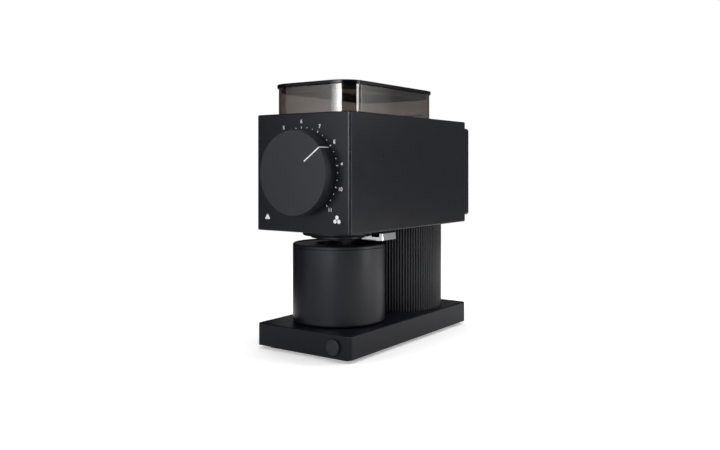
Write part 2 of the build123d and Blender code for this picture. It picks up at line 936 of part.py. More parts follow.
# The rear cover is a vented box on a flange that closes the back of the housing.
cover_width = housing_width - 2 * cover_inset
cover_height = housing_height - 2 * cover_inset
cover_back = housing_length + cover_depth
with BuildPart() as rear_cover:
    with BuildSketch(station(cover_back)):
        Rectangle(cover_width, cover_height)
    extrude(amount=cover_depth)
    fillet(rear_cover.edges().filter_by(Axis.Y), cover_corner)
    fillet(rear_cover.faces().sort_by(Axis.Y)[-1].edges(), cover_edge)
    with BuildSketch(station(housing_length)):
        RectangleRounded(
            inner_width - 2 * seat_clearance,
            inner_height - 2 * seat_clearance,
            inner_corner - seat_clearance,
        )
    extrude(amount=cover_flange)
    with BuildSketch(station(cover_back - cover_wall)):
        RectangleRounded(
            cover_width - 2 * cover_wall, cover_height - 2 * cover_wall, cover_corner / 2
        )
    extrude(amount=cover_depth - cover_wall + cover_flange, mode=Mode.SUBTRACT)
    with BuildSketch(station(cover_back - cover_wall)):
        with Locations(*cover_boss_spots):
            Circle(cover_well_radius)
    extrude(amount=cover_depth - cover_wall + cover_flange)
    with BuildSketch(station(cover_back)):
        with Locations(*cover_boss_spots):
            Circle(2 * m3)
    extrude(amount=cover_depth, mode=Mode.SUBTRACT)
    with BuildSketch(station(cover_back)):
        with Locations(*cover_boss_spots):
            Circle(m3 + seat_clearance)
    extrude(amount=cover_depth + cover_flange, mode=Mode.SUBTRACT)
    with BuildSketch(station(cover_back)):
        with GridLocations(1, vent_pitch, 1, vent_count):
            SlotOverall(vent_length, vent_width)
    extrude(amount=cover_wall, mode=Mode.SUBTRACT)
pieces["rear_cover"] = rear_cover
pieces["rear_cover_screws"] = cap_screws(
    Plane(origin=station(housing_length).origin, x_dir=(-1, 0, 0), z_dir=(0, 1, 0)),
    cover_boss_spots,
    m3,
    cover_flange + cover_screw_grip,
)

# ---------------------------------------------------------------- dial and grind adjustment
# The dial turns the adjusting screw. The screw draws the keyed burr carrier along the drive axis.
dial_face = -dial_depth
dial_back = -dial_gap
dial_inner = dial_face + dial_web
cap_boss_front = -cap_boss_height
detent_front = -detent_height
hub_back = cap_boss_front - motion_clearance
shaft_tip = dial_inner + motion_clearance
cap_back = housing_wall + cap_spigot
drum_front = cap_back + motion_clearance
drum_back = drum_front + screw_drum_length
ball_depth = detent_front - ball_gap - ball_radius
ball_boss_back = ball_depth + ball_lip
detent_angle = pointer_angle + 180.0
settings_per_turn = round(360 / setting_step)
travel_angle = (setting_count - 1) * setting_step
stop_block_angle = 360 - travel_angle - stop_tab_angle - 2 * stop_slack

with BuildPart() as grind_dial:
    with BuildSketch(drive_side):
        with BuildLine():
            Polyline(
                (dial_face, 0),
                (dial_face, dial_radius - dial_edge),
                (dial_face + dial_edge, dial_radius),
                (dial_back, dial_radius),
                (dial_back, dial_radius - dial_rim),
                (dial_inner, dial_radius - dial_rim),
                (dial_inner, dial_hub_radius),
                (hub_back, dial_hub_radius),
                (hub_back, 0),
                close=True,
            )
        make_face()
    revolve(axis=drive_axis)
    # D-shaped socket for the adjusting screw's shaft.
    with BuildSketch(station(hub_back)):
        Circle(dial_shaft_radius + running_clearance)
        with Locations((0, -2 * dial_shaft_radius + dial_shaft_flat - running_clearance)):
            Rectangle(2 * dial_hub_radius, 2 * dial_shaft_radius, mode=Mode.SUBTRACT)
    extrude(amount=hub_back - dial_inner, mode=Mode.SUBTRACT)
    # Stiffening ribs from the hub to the rim.
    with BuildSketch(station(dial_inner + dial_rib_depth)):
        with PolarLocations(
            (dial_hub_radius + dial_radius - dial_rim) / 2,
            dial_rib_count,
            pointer_angle + 180 / dial_rib_count,
        ):
            Rectangle(
                dial_radius - dial_rim - dial_hub_radius + 2 * dial_rib_root, dial_rib_width
            )
    extrude(amount=dial_rib_depth)
    # Stop tab in line with the pointer, and the pocket for the detent ball opposite.
    with BuildSketch(station(dial_back - motion_clearance)):
        with BuildLine():
            tab_out = CenterArc(
                (0, 0), stop_outer_radius, pointer_angle - stop_tab_angle / 2, stop_tab_angle
            )
            tab_in = CenterArc(
                (0, 0), stop_inner_radius, pointer_angle - stop_tab_angle / 2, stop_tab_angle
            )
            Line(tab_out @ 0, tab_in @ 0)
            Line(tab_out @ 1, tab_in @ 1)
        make_face()
    extrude(amount=dial_back - motion_clearance - dial_inner)
    with BuildSketch(station(ball_boss_back)):
        with Locations(*ring_spots(detent_radius, [detent_angle])):
            Circle(2 * ball_radius)
    extrude(amount=ball_boss_back - dial_inner)
    with BuildSketch(station(ball_boss_back)):
        with Locations(*ring_spots(detent_radius, [detent_angle])):
            Circle(ball_radius + running_clearance)
    extrude(amount=ball_boss_back - dial_inner - ball_pocket_floor, mode=Mode.SUBTRACT)
pieces["grind_dial"] = grind_dial

ball_spot = station(ball_depth).from_local_coords(
    Vector(*ring_spots(detent_radius, [detent_angle])[0])
)
with BuildPart() as detent_ball:
    with Locations(ball_spot):
        Sphere(ball_radius)
pieces["detent_ball"] = detent_ball

detent_spring_front = dial_inner + ball_pocket_floor
detent_spring_length = ball_depth - ball_radius - detent_spring_front - 2 * detent_wire
with BuildPart() as detent_spring:
    with BuildLine():
        detent_coil = Helix(
            detent_spring_length / detent_turns,
            detent_spring_length,
            ball_radius - 2 * detent_wire,
            center=(ball_spot.X, front_face + detent_spring_front + detent_wire, ball_spot.Z),
            direction=(0, 1, 0),
        )
    with BuildSketch(Plane(origin=detent_coil @ 0, z_dir=detent_coil % 0)):
        RegularPolygon(detent_wire, 4)
    sweep(is_frenet=True)
pieces["detent_spring"] = detent_spring

with BuildPart() as adjusting_screw:
    with BuildSketch(drive_side):
        with BuildLine():
            Polyline(
                (shaft_tip, 0),
                (shaft_tip, dial_shaft_radius - shaft_edge),
                (shaft_tip + shaft_edge, dial_shaft_radius),
                (drum_front, dial_shaft_radius),
                (drum_front, screw_drum_radius - screw_drum_edge),
                (drum_front + screw_drum_edge, screw_drum_radius),
                (drum_back, screw_drum_radius),
                (drum_back, screw_drum_radius - screw_drum_wall),
                (drum_front + screw_drum_web, screw_drum_radius - screw_drum_wall),
                (drum_front + screw_drum_web, 0),
                close=True,
            )
        make_face()
    revolve(axis=drive_axis)
    with BuildSketch(station(hub_back)):
        with Locations((0, -2 * dial_shaft_radius + dial_shaft_flat)):
            Rectangle(4 * dial_shaft_radius, 2 * dial_shaft_radius)
    extrude(amount=hub_back - shaft_tip, mode=Mode.SUBTRACT)
pieces["adjusting_screw"] = adjusting_screw

cap_screw_circle = cap_radius - 2 * cap_screw - motion_clearance
cap_screw_spots = ring_spots(cap_screw_circle, (60, 180, 300))
with BuildPart() as front_cap:
    with BuildSketch(drive_side):
        with BuildLine():
            Polyline(
                (cap_boss_front, dial_shaft_radius + running_clearance),
                (cap_boss_front, cap_boss_radius),
                (0, cap_boss_radius),
                (0, detent_radius - detent_width / 2),
                (detent_front, detent_radius - detent_width / 2),
                (detent_front, detent_radius + detent_width / 2),
                (0, detent_radius + detent_width / 2),
                (0, cap_radius),
                (housing_wall, cap_radius),
                (housing_wall, carrier_radius - seat_clearance),
                (cap_back, carrier_radius - seat_clearance),
                (cap_back, dial_shaft_radius + running_clearance),
                close=True,
            )
        make_face()
    revolve(axis=drive_axis)
    with BuildSketch(station(0)):
        stop_start = 270 - stop_block_angle / 2
        with BuildLine():
            stop_out = CenterArc((0, 0), stop_outer_radius, stop_start, stop_block_angle)
            stop_in = CenterArc((0, 0), stop_inner_radius, stop_start, stop_block_angle)
            Line(stop_out @ 0, stop_in @ 0)
            Line(stop_out @ 1, stop_in @ 1)
        make_face()
    extrude(amount=stop_height)
    # Detent notches, one for each setting step of the full circle.
    for notch in range(settings_per_turn):
        direction = radians(detent_angle + notch * setting_step)
        along = Vector(cos(direction), 0, sin(direction))
        notch_origin = Vector(0, front_face + detent_front, axis_height)
        notch_origin += along * (detent_radius - detent_width)
        with BuildSketch(Plane(origin=notch_origin, x_dir=(0, 1, 0), z_dir=along)):
            with BuildLine():
                Polyline(
                    (-detent_notch, -2 * detent_notch),
                    (detent_notch, 0),
                    (-detent_notch, 2 * detent_notch),
                    close=True,
                )
            make_face()
    extrude(amount=2 * detent_width, mode=Mode.SUBTRACT)
    with Locations(station(0)):
        with Locations(*cap_screw_spots):
            CounterSinkHole(
                cap_screw + slide_clearance,
                2 * cap_screw + slide_clearance,
                housing_wall,
                sink_angle,
            )
pieces["front_cap"] = front_cap
pieces["cap_screws"] = sunk_screws(station(0), cap_screw_spots, cap_screw, cap_screw_length)

burr_screw_spots = ring_spots(burr_screw_radius, (30, 150, 270))
carrier_web = carrier_front + carrier_nut_length
window_front = inlet_front + window_margin
window_rear = inlet_rear - window_margin
with BuildPart() as burr_carrier:
    with BuildSketch(drive_side):
        with BuildLine():
            Polyline(
                (carrier_front, screw_drum_radius + slide_clearance),
                (carrier_front, carrier_radius - carrier_edge),
                (carrier_front + carrier_edge, carrier_radius),
                (carrier_rear, carrier_radius),
                (carrier_rear, carrier_bore),
                (carrier_web, carrier_bore),
                (carrier_web, screw_drum_radius + slide_clearance),
                close=True,
            )
        make_face()
    revolve(axis=drive_axis)
    with BuildSketch(station(window_rear)):
        with Locations((0, carrier_radius)):
            Rectangle(inlet_width - 2 * window_margin, 2 * carrier_radius)
    extrude(amount=window_rear - window_front, mode=Mode.SUBTRACT)
    with BuildSketch(station(carrier_rear)):
        with Locations((carrier_radius + key_height / 2 - key_root, 0)):
            Rectangle(key_height + 2 * key_root, key_width)
    extrude(amount=carrier_length - key_setback)
    with BuildSketch(station(carrier_rear)):
        with Locations(*burr_screw_spots):
            Circle(m3)
    extrude(amount=burr_screw_length - burr_thickness + screw_tip_gap, mode=Mode.SUBTRACT)
pieces["burr_carrier"] = burr_carrier

stationary_burr = flat_burr(outer_burr_face, carrier_rear)
rotating_burr = flat_burr(inner_burr_face, rotor_front)
outer_screw_plane = Plane(
    origin=station(outer_burr_face - burr_screw_seat).origin, x_dir=(-1, 0, 0), z_dir=(0, 1, 0)
)
inner_screw_plane = station(inner_burr_face + burr_screw_seat)
mirrored_spots = [(-x, z) for x, z in burr_screw_spots]
for burr, plane, spots in (
    (stationary_burr, outer_screw_plane, mirrored_spots),
    (rotating_burr, inner_screw_plane, burr_screw_spots),
):
    with burr:
        with Locations(plane):
            with Locations(*spots):
                CounterSinkHole(
                    m3 + seat_clearance, 2 * m3 + seat_clearance, burr_thickness, sink_angle
                )
pieces["stationary_burr"] = stationary_burr
pieces["rotating_burr"] = rotating_burr
pieces["stationary_burr_screws"] = sunk_screws(
    outer_screw_plane, mirrored_spots, m3, burr_screw_length - burr_screw_seat
)
rotor_screw_length = burr_thickness + rotor_disc - burr_screw_seat - screw_tip_gap
pieces["rotating_burr_screws"] = sunk_screws(
    inner_screw_plane, burr_screw_spots, m3, rotor_screw_length
)

# ---------------------------------------------------------------- burr chamber
motor_hole = rear_flange / 2 - rear_flange_lug
motor_screw_spots = [(x * motor_hole, z * motor_hole) for x in (-1, 1) for z in (-1, 1)]
grounds_front = carrier_rear
with BuildPart() as burr_chamber:
    with BuildSketch(station(chamber_rear)):
        Circle(chamber_radius)
    extrude(amount=chamber_rear - housing_wall)
    with BuildSketch(station(chamber_flange_front + chamber_flange)):
        RectangleRounded(chamber_flange_width, chamber_flange_height, chamber_lug)
    extrude(amount=chamber_flange)
    with BuildSketch(station(chamber_rear)):
        RectangleRounded(rear_flange, rear_flange, rear_flange_lug)
    extrude(amount=rear_flange_thickness)
    with BuildSketch(Plane((0, front_face + outlet_rear - outlet_length / 2, outlet_face))):
        Rectangle(outlet_width + 2 * outlet_wall, outlet_length + 2 * outlet_wall)
    extrude(amount=outlet_height - grounds_radius + outlet_root)
    # Flat seat for the hopper on top.
    with BuildSketch(Plane((0, inlet_middle, inlet_face))):
        Rectangle(inlet_width + 2 * inlet_seat_margin, inlet_length + 2 * inlet_seat_margin)
    extrude(amount=chamber_radius, mode=Mode.SUBTRACT)
    # Guide bore, grounds chamber, seal and bearing seats.
    with BuildSketch(drive_side):
        with BuildLine():
            Polyline(
                (0, 0),
                (0, carrier_radius + running_clearance),
                (grounds_front, carrier_radius + running_clearance),
                (grounds_front, grounds_radius),
                (seal_front, grounds_radius),
                (seal_front, seal_radius + running_clearance),
                (bearing_front, seal_radius + running_clearance),
                (bearing_front, bearing_radius + running_clearance),
                (motor_front, bearing_radius + running_clearance),
                (motor_front, 0),
                close=True,
            )
        make_face()
    revolve(axis=drive_axis, mode=Mode.SUBTRACT)
    with BuildSketch(station(grounds_front)):
        with Locations((carrier_radius, 0)):
            Rectangle(2 * (key_height + motion_clearance), key_width + 2 * slide_clearance)
    extrude(amount=grounds_front - housing_wall, mode=Mode.SUBTRACT)
    with BuildSketch(Plane((0, inlet_middle, axis_height))):
        Rectangle(inlet_width, inlet_length)
    extrude(amount=chamber_radius, mode=Mode.SUBTRACT)
    with BuildSketch(Plane((0, front_face + outlet_middle, outlet_face))):
        Rectangle(outlet_width, outlet_length)
    extrude(amount=outlet_height, mode=Mode.SUBTRACT)
    with BuildSketch(station(chamber_flange_front + chamber_flange)):
        with Locations(*front_boss_spots):
            Circle(m3 + seat_clearance)
    extrude(amount=chamber_flange, mode=Mode.SUBTRACT)
    with BuildSketch(station(chamber_rear)):
        with Locations(*motor_screw_spots):
            Circle(m4)
    extrude(amount=rear_flange_thickness, mode=Mode.SUBTRACT)
    with BuildSketch(station(housing_wall + cap_screw_length)):
        with Locations(*cap_screw_spots):
            Circle(cap_screw)
    extrude(amount=cap_screw_length, mode=Mode.SUBTRACT)
pieces["burr_chamber"] = burr_chamber
pieces["chamber_screws"] = cap_screws(
    Plane(
        origin=station(chamber_flange_front + chamber_flange).origin,
        x_dir=(-1, 0, 0),
        z_dir=(0, 1, 0),
    ),
    front_boss_spots,
    m3,
    chamber_flange + chamber_screw_grip,
)

# ---------------------------------------------------------------- rotor
shaft_bore = shaft_radius + running_clearance
hub_front = auger_front + auger_length + hub_gap
cone_front = hub_front + hub_step
hub_rear = seal_front - motion_clearance
hub_radius = 2 * shaft_radius
paddle_front = grounds_front + paddle_setback
with BuildPart() as rotor_carrier:
    with BuildSketch(drive_side):
        with BuildLine():
            Polyline(
                (hub_front, shaft_bore),
                (hub_front, hub_radius),
                (cone_front, hub_radius),
                (rotor_front - hub_gap, burr_bore - hub_shoulder),
                (rotor_front, burr_bore - hub_shoulder),
                (rotor_front, rotor_radius),
                (rotor_rear, rotor_radius),
                (rotor_rear, hub_radius + hub_shoulder),
                (hub_rear, hub_radius - hub_shoulder),
                (hub_rear, shaft_bore),
                close=True,
            )
        make_face()
    revolve(axis=drive_axis)
    with BuildSketch(station(rotor_rear)):
        with PolarLocations((burr_radius + motion_clearance + paddle_radius) / 2, paddle_count, 90):
            Rectangle(paddle_radius - burr_radius - motion_clearance, paddle_width)
    extrude(amount=rotor_rear - paddle_front)
    with BuildSketch(station(rotor_rear)):
        with Locations(*burr_screw_spots):
            Circle(m3)
    extrude(amount=rotor_disc, mode=Mode.SUBTRACT)
pieces["rotor_carrier"] = rotor_carrier

# The auger's flight winds round its hub and feeds the beans back into the burrs.
flight_middle = (auger_radius + auger_hub_radius - flight_root) / 2
flight_height = auger_length - auger_flight - 2 * flight_inset
flight_plane = station(auger_front + auger_flight / 2 + flight_inset)
with BuildPart() as auger:
    with BuildSketch(drive_side):
        with BuildLine():
            Polyline(
                (auger_front, shaft_bore),
                (auger_front, auger_hub_radius - auger_edge),
                (auger_front + auger_edge, auger_hub_radius),
                (auger_front + auger_length, auger_hub_radius),
                (auger_front + auger_length, shaft_bore),
                close=True,
            )
        make_face()
    revolve(axis=drive_axis)
    with BuildLine():
        flight_path = Helix(
            auger_pitch,
            flight_height,
            flight_middle,
            center=flight_plane.origin,
            direction=(0, 1, 0),
        )
    flight_out = (flight_path @ 0 - flight_plane.origin).normalized()
    with BuildSketch(Plane(origin=flight_path @ 0, x_dir=flight_out, z_dir=flight_path % 0)):
        Rectangle(auger_radius - auger_hub_radius + flight_root, auger_flight)
    sweep(is_frenet=True)
pieces["auger"] = auger
pieces["auger_screw"] = cap_screws(station(auger_front), [(0, 0)], m4, auger_screw_length)

with BuildPart() as drive_shaft:
    with BuildSketch(station(shaft_end)):
        Circle(shaft_radius)
    extrude(amount=shaft_end - auger_front)
    with BuildSketch(station(auger_front + auger_screw_length + thread_run_out)):
        Circle(m4)
    extrude(amount=auger_screw_length + thread_run_out, mode=Mode.SUBTRACT)
    chamfer(drive_shaft.faces().sort_by(Axis.Y)[-1].edges(), shaft_edge)
pieces["drive_shaft"] = drive_shaft

pieces["shaft_seal"] = turned(
    [
        (seal_front, shaft_bore + slide_clearance),
        (seal_front, seal_radius),
        (bearing_front, seal_radius),
        (bearing_front, shaft_bore + slide_clearance),
    ]
)
pieces["front_bearing"] = ball_bearing(bearing_front)

# ---------------------------------------------------------------- motor
with BuildPart() as motor_front_plate:
    with BuildSketch(station(motor_front)):
        RectangleRounded(rear_flange, rear_flange, rear_flange_lug)
        Circle(1.6 * shaft_radius, mode=Mode.SUBTRACT)
        with Locations(*motor_screw_spots):
            Circle(m4 + seat_clearance, mode=Mode.SUBTRACT)
    extrude(amount=motor_plate)
pieces["motor_front_plate"] = motor_front_plate
pieces["motor_screws"] = cap_screws(
    Plane(origin=station(motor_front).origin, x_dir=(-1, 0, 0), z_dir=(0, 1, 0)),
    motor_screw_spots,
    m4,
    motor_plate + rear_flange_thickness - screw_tip_gap,
)

with BuildPart() as motor_can:
    with BuildSketch(station(motor_rear)):
        Circle(motor_radius)
        Circle(motor_radius - motor_wall, mode=Mode.SUBTRACT)
    extrude(amount=motor_length)
    for window in range(window_count):
        turn = radians((window + 0.5) * 360 / window_count)
        out = Vector(cos(turn), 0, sin(turn))
        window_middle = Vector(
            0, front_face + commutator_front + commutator_length / 2, axis_height
        )
        with BuildSketch(Plane(origin=window_middle, x_dir=(0, 1, 0), z_dir=out)):
            SlotOverall(window_length, window_width)
        extrude(amount=2 * motor_radius, mode=Mode.SUBTRACT)
pieces["motor_can"] = motor_can

magnet_outer = motor_radius - motor_wall - slide_clearance
magnet_inner = magnet_outer - magnet_thickness
core_radius = magnet_inner - air_gap
core_rear = core_front + core_length
core_middle = core_front + core_length / 2
with BuildPart() as motor_magnets:
    for side in (0, 180):
        with BuildSketch(station(core_middle + magnet_length / 2)):
            with BuildLine():
                start = side - magnet_angle / 2
                magnet_out = CenterArc((0, 0), magnet_outer, start, magnet_angle)
                magnet_in = CenterArc((0, 0), magnet_inner, start, magnet_angle)
                Line(magnet_out @ 0, magnet_in @ 0)
                Line(magnet_out @ 1, magnet_in @ 1)
            make_face()
    extrude(amount=magnet_length)
pieces["motor_magnets"] = motor_magnets

slot_bottom = 0.48 * core_radius
slot_top = 0.9 * core_radius
with BuildPart() as armature_core:
    with BuildSketch(station(core_rear)):
        Circle(core_radius)
        Circle(shaft_bore, mode=Mode.SUBTRACT)
        with PolarLocations((slot_bottom + slot_top) / 2, slot_count):
            Rectangle(slot_top - slot_bottom, slot_width, mode=Mode.SUBTRACT)
        with PolarLocations(core_radius, slot_count):
            Rectangle(2.2 * (core_radius - slot_top), slot_mouth, mode=Mode.SUBTRACT)
    extrude(amount=core_length)
pieces["armature_core"] = armature_core

with BuildPart() as armature_windings:
    with BuildSketch(station(core_rear + winding_overhang)):
        with PolarLocations((slot_bottom + slot_top) / 2, slot_count):
            Rectangle(slot_top - slot_bottom - 2 * wire_fit, slot_width - 2 * wire_fit)
    extrude(amount=core_length + 2 * winding_overhang)
    for end in (core_rear + wire_fit, core_front - winding_overhang):
        rear = end + winding_overhang - wire_fit
        with BuildSketch(drive_side):
            with BuildLine():
                Polyline(
                    (end, slot_bottom - winding_round),
                    (end, slot_top + winding_lip),
                    (end + winding_round, slot_top + winding_crown),
                    (rear - winding_round, slot_top + winding_crown),
                    (rear, slot_top + winding_lip),
                    (rear, slot_bottom - winding_round),
                    close=True,
                )
            make_face()
        revolve(axis=drive_axis)
pieces["armature_windings"] = armature_windings

commutator_rear = commutator_front + commutator_length
with BuildPart() as commutator:
    with BuildSketch(station(commutator_rear)):
        Circle(commutator_radius)
        Circle(shaft_bore, mode=Mode.SUBTRACT)
        with PolarLocations(commutator_radius, slot_count):
            Rectangle(2 * commutator_groove, commutator_gap, mode=Mode.SUBTRACT)
    extrude(amount=commutator_length)
pieces["commutator"] = commutator

brush_inner = commutator_radius + motion_clearance
brush_middle = station(commutator_front + commutator_length / 2)
with BuildPart() as carbon_brushes:
    with Locations(brush_middle):
        with PolarLocations(brush_inner + brush_length / 2, 2):
            Box(brush_length, brush_thickness, brush_width)

holder_front = brush_inner + holder_setback
holder_length = motor_radius - motor_wall - slide_clearance - holder_end_gap - holder_front
with BuildPart() as brush_holders:
    with Locations(brush_middle):
        with PolarLocations(holder_front + holder_length / 2, 2):
            Box(holder_length, brush_thickness + 2 * brush_wall, brush_width + 2 * brush_wall)
        with PolarLocations(holder_front + holder_length / 2 - brush_wall, 2):
            Box(
                holder_length,
                brush_thickness + 2 * slide_clearance,
                brush_width + 2 * slide_clearance,
                mode=Mode.SUBTRACT,
            )
with BuildPart() as brush_gear:
    add(brush_holders.part)
    add(carbon_brushes.part)
pieces["brush_gear"] = brush_gear

bell_rear = motor_rear + bell_thickness
rear_bearing_front = bell_rear - bearing_width
bell_spigot_outer = motor_radius - motor_wall - slide_clearance
bell_spigot_inner = motor_radius - motor_wall - bell_spigot_wall
bell_face = motor_rear + bell_plate
bell_boss_radius = bearing_radius + bell_boss_wall
with BuildPart() as motor_end_bell:
    with BuildSketch(drive_side):
        with BuildLine():
            Polyline(
                (motor_rear - bell_spigot, bell_spigot_inner),
                (motor_rear - bell_spigot, bell_spigot_outer),
                (motor_rear, bell_spigot_outer),
                (motor_rear, motor_radius),
                (motor_rear + bell_rim, motor_radius),
                (bell_face, motor_radius - bell_edge),
                (bell_face, bell_boss_radius),
                (bell_rear, bell_boss_radius),
                (bell_rear, bearing_radius + running_clearance),
                (rear_bearing_front, bearing_radius + running_clearance),
                (rear_bearing_front, 1.6 * shaft_radius),
                (motor_rear - bell_inner_step, 1.6 * shaft_radius),
                (motor_rear - bell_inner_step, bell_spigot_inner),
                close=True,
            )
        make_face()
    revolve(axis=drive_axis)
    with BuildSketch(station(bell_face)):
        with PolarLocations((motor_radius + bearing_radius) / 2, bell_slot_count):
            SlotOverall(bell_slot_length, bell_slot_width, rotation=90)
    extrude(amount=bell_plate + bell_inner_step, mode=Mode.SUBTRACT)
pieces["motor_end_bell"] = motor_end_bell
pieces["rear_bearing"] = ball_bearing(rear_bearing_front)

fan_rear = fan_front + fan_length
fan_disc_front = fan_rear - fan_disc
with BuildPart() as cooling_fan:
    with BuildSketch(drive_side):
        with BuildLine():
            Polyline(
                (fan_front, shaft_bore),
                (fan_front, 2 * shaft_radius),
                (fan_disc_front, 2.4 * shaft_radius),
                (fan_disc_front, fan_radius),
                (fan_rear, fan_radius),
                (fan_rear, shaft_bore),
                close=True,
            )
        make_face()
    revolve(axis=drive_axis)
    with BuildSketch(station(fan_rear - blade_inset)):
        for blade in range(blade_count):
            turn = 360 / blade_count * blade
            with BuildLine():
                SagittaArc(
                    ring_spots(1.9 * shaft_radius, [turn])[0],
                    ring_spots(fan_radius - blade_tip_gap, [turn - blade_sweep])[0],
                    blade_bow,
                )
            trace(line_width=blade_thickness)
    extrude(amount=fan_length - 2 * blade_inset)
pieces["cooling_fan"] = cooling_fan

# The saddle carries the motor's weight on the housing's floor.
with BuildPart() as motor_saddle:
    with BuildSketch(saddle_plane):
        RectangleRounded(saddle_width, saddle_length, saddle_corner)
    extrude(amount=saddle_foot)
    with BuildSketch(saddle_plane):
        Rectangle(saddle_width - 2 * saddle_ledge, saddle_length)
    extrude(amount=axis_height - housing_floor - 0.7 * motor_radius)
    with BuildSketch(station(saddle_front + saddle_length)):
        Circle(motor_radius + seat_clearance)
    extrude(amount=saddle_length, mode=Mode.SUBTRACT)
    with BuildSketch(saddle_plane.offset(saddle_foot)):
        with Locations(*saddle_screw_spots):
            Circle(m3 + seat_clearance)
    extrude(amount=-saddle_foot, mode=Mode.SUBTRACT)
pieces["motor_saddle"] = motor_saddle
pieces["saddle_screws"] = cap_screws(
    saddle_plane.offset(saddle_foot),
    saddle_screw_spots,
    m3,
    saddle_foot + housing_wall - screw_tip_gap,
)

# ---------------------------------------------------------------- hopper and lid
hopper_plane = Plane((0, hopper_middle, 0))
hopper_top = lid_bottom - lid_seat_gap
flange_top = housing_roof
flange_bottom = flange_top - hopper_flange
hopper_inner_width = hopper_width - 2 * hopper_wall
hopper_inner_length = hopper_length - 2 * hopper_wall
hopper_inner_corner = hopper_corner - hopper_wall
throat_seat = inlet_face + gasket_thickness
throat_inner_width = inlet_width - 2 * motion_clearance - 2 * throat_wall
throat_inner_length = inlet_length - 2 * motion_clearance - 2 * throat_wall
funnel_front_height = flange_bottom + funnel_rim_rise
funnel_tilt = funnel_rear_rise / hopper_inner_length


def funnel_body(grow, drop):
    """Loft from the tilted rim of the funnel down to its throat.

    grow widens it on each side and drop lowers it, for the outside of the moulding.
    """
    rim_middle = Vector(0, hopper_middle, funnel_front_height + funnel_rear_rise / 2 - drop)
    rim_normal = Vector(0, -funnel_tilt, 1).normalized()
    throat_middle = Vector(0, inlet_middle, throat_seat + throat_rise - drop)
    with BuildPart() as body:
        with BuildSketch(Plane(origin=rim_middle, x_dir=(1, 0, 0), z_dir=rim_normal)):
            RectangleRounded(
                hopper_inner_width - 2 * funnel_lap + 2 * grow,
                hopper_inner_length - 2 * funnel_lap + 2 * grow,
                hopper_inner_corner - funnel_lap + grow,
            )
        with BuildSketch(Plane(throat_middle)):
            RectangleRounded(
                throat_inner_width + 2 * grow, throat_inner_length + 2 * grow, throat_corner + grow
            )
        loft()
    return body


funnel_outside = funnel_body(funnel_wall, funnel_wall)
funnel_inside = funnel_body(0, 0)
with BuildPart() as hopper_bin:
    add(funnel_outside.part)
    # Shoulder on the gasket and a spigot into the burr chamber.
    with BuildSketch(Plane((0, inlet_middle, throat_seat))):
        RectangleRounded(
            inlet_width + 2 * throat_shoulder, inlet_length + 2 * throat_shoulder, throat_corner
        )
    extrude(amount=throat_rise)
    with BuildSketch(Plane((0, inlet_middle, throat_seat))):
        RectangleRounded(
            throat_inner_width + 2 * throat_wall,
            throat_inner_length + 2 * throat_wall,
            throat_corner,
        )
    extrude(amount=-spigot_depth)
    add(funnel_inside.part, mode=Mode.SUBTRACT)
    with BuildSketch(Plane((0, inlet_middle, throat_seat - spigot_depth))):
        RectangleRounded(throat_inner_width, throat_inner_length, throat_corner)
    extrude(amount=spigot_depth + throat_rise, mode=Mode.SUBTRACT)
    # Upright wall with the flange that hooks under the housing's top.
    with BuildSketch(hopper_plane.offset(flange_bottom)):
        RectangleRounded(hopper_width, hopper_length, hopper_corner)
        RectangleRounded(
            hopper_inner_width, hopper_inner_length, hopper_inner_corner, mode=Mode.SUBTRACT
        )
    extrude(amount=hopper_top - flange_bottom)
    with BuildSketch(hopper_plane.offset(flange_bottom)):
        RectangleRounded(
            hopper_width + 2 * hopper_flange,
            hopper_length + 2 * hopper_flange,
            hopper_corner + hopper_flange,
        )
        RectangleRounded(
            hopper_inner_width, hopper_inner_length, hopper_inner_corner, mode=Mode.SUBTRACT
        )
    extrude(amount=hopper_flange)
pieces["hopper_bin"] = hopper_bin

with BuildPart() as hopper_gasket:
    with BuildSketch(Plane((0, inlet_middle, inlet_face))):
        RectangleRounded(
            inlet_width + 2 * gasket_margin, inlet_length + 2 * gasket_margin, gasket_corner
        )
        RectangleRounded(
            inlet_width - 2 * gasket_lap,
            inlet_length - 2 * gasket_lap,
            gasket_corner / 2,
            mode=Mode.SUBTRACT,
        )
    extrude(amount=gasket_thickness)
pieces["hopper_gasket"] = hopper_gasket

rib_width = hopper_inner_width - 2 * lid_rib
rib_length = hopper_inner_length - 2 * lid_rib
rib_corner = hopper_inner_corner - lid_rib
with BuildPart() as hopper_lid:
    with BuildSketch(hopper_plane.offset(lid_bottom)):
        RectangleRounded(lid_width, lid_length, lid_corner)
    extrude(amount=lid_thickness)
    fillet(hopper_lid.faces().sort_by(Axis.Z)[-1].edges(), lid_edge)
    chamfer(hopper_lid.faces().sort_by(Axis.Z)[0].edges(), lid_edge / 2)
    with BuildSketch(hopper_plane.offset(lid_bottom)):
        RectangleRounded(rib_width, rib_length, rib_corner)
        RectangleRounded(
            rib_width - 2 * lid_rib, rib_length - 2 * lid_rib, rib_corner - lid_rib, mode=Mode.SUBTRACT
        )
    extrude(amount=-lid_rib_height)
pieces["hopper_lid"] = hopper_lid

with BuildPart() as lid_seal:
    with BuildSketch(hopper_plane.offset(lid_bottom - lid_rib_height + seal_rise)):
        RectangleRounded(
            hopper_inner_width - 2 * motion_clearance,
            hopper_inner_length - 2 * motion_clearance,
            hopper_inner_corner - motion_clearance,
        )
        RectangleRounded(
            rib_width + 2 * running_clearance,
            rib_length + 2 * running_clearance,
            rib_corner + running_clearance,
            mode=Mode.SUBTRACT,
        )
    extrude(amount=seal_height)
pieces["lid_seal"] = lid_seal

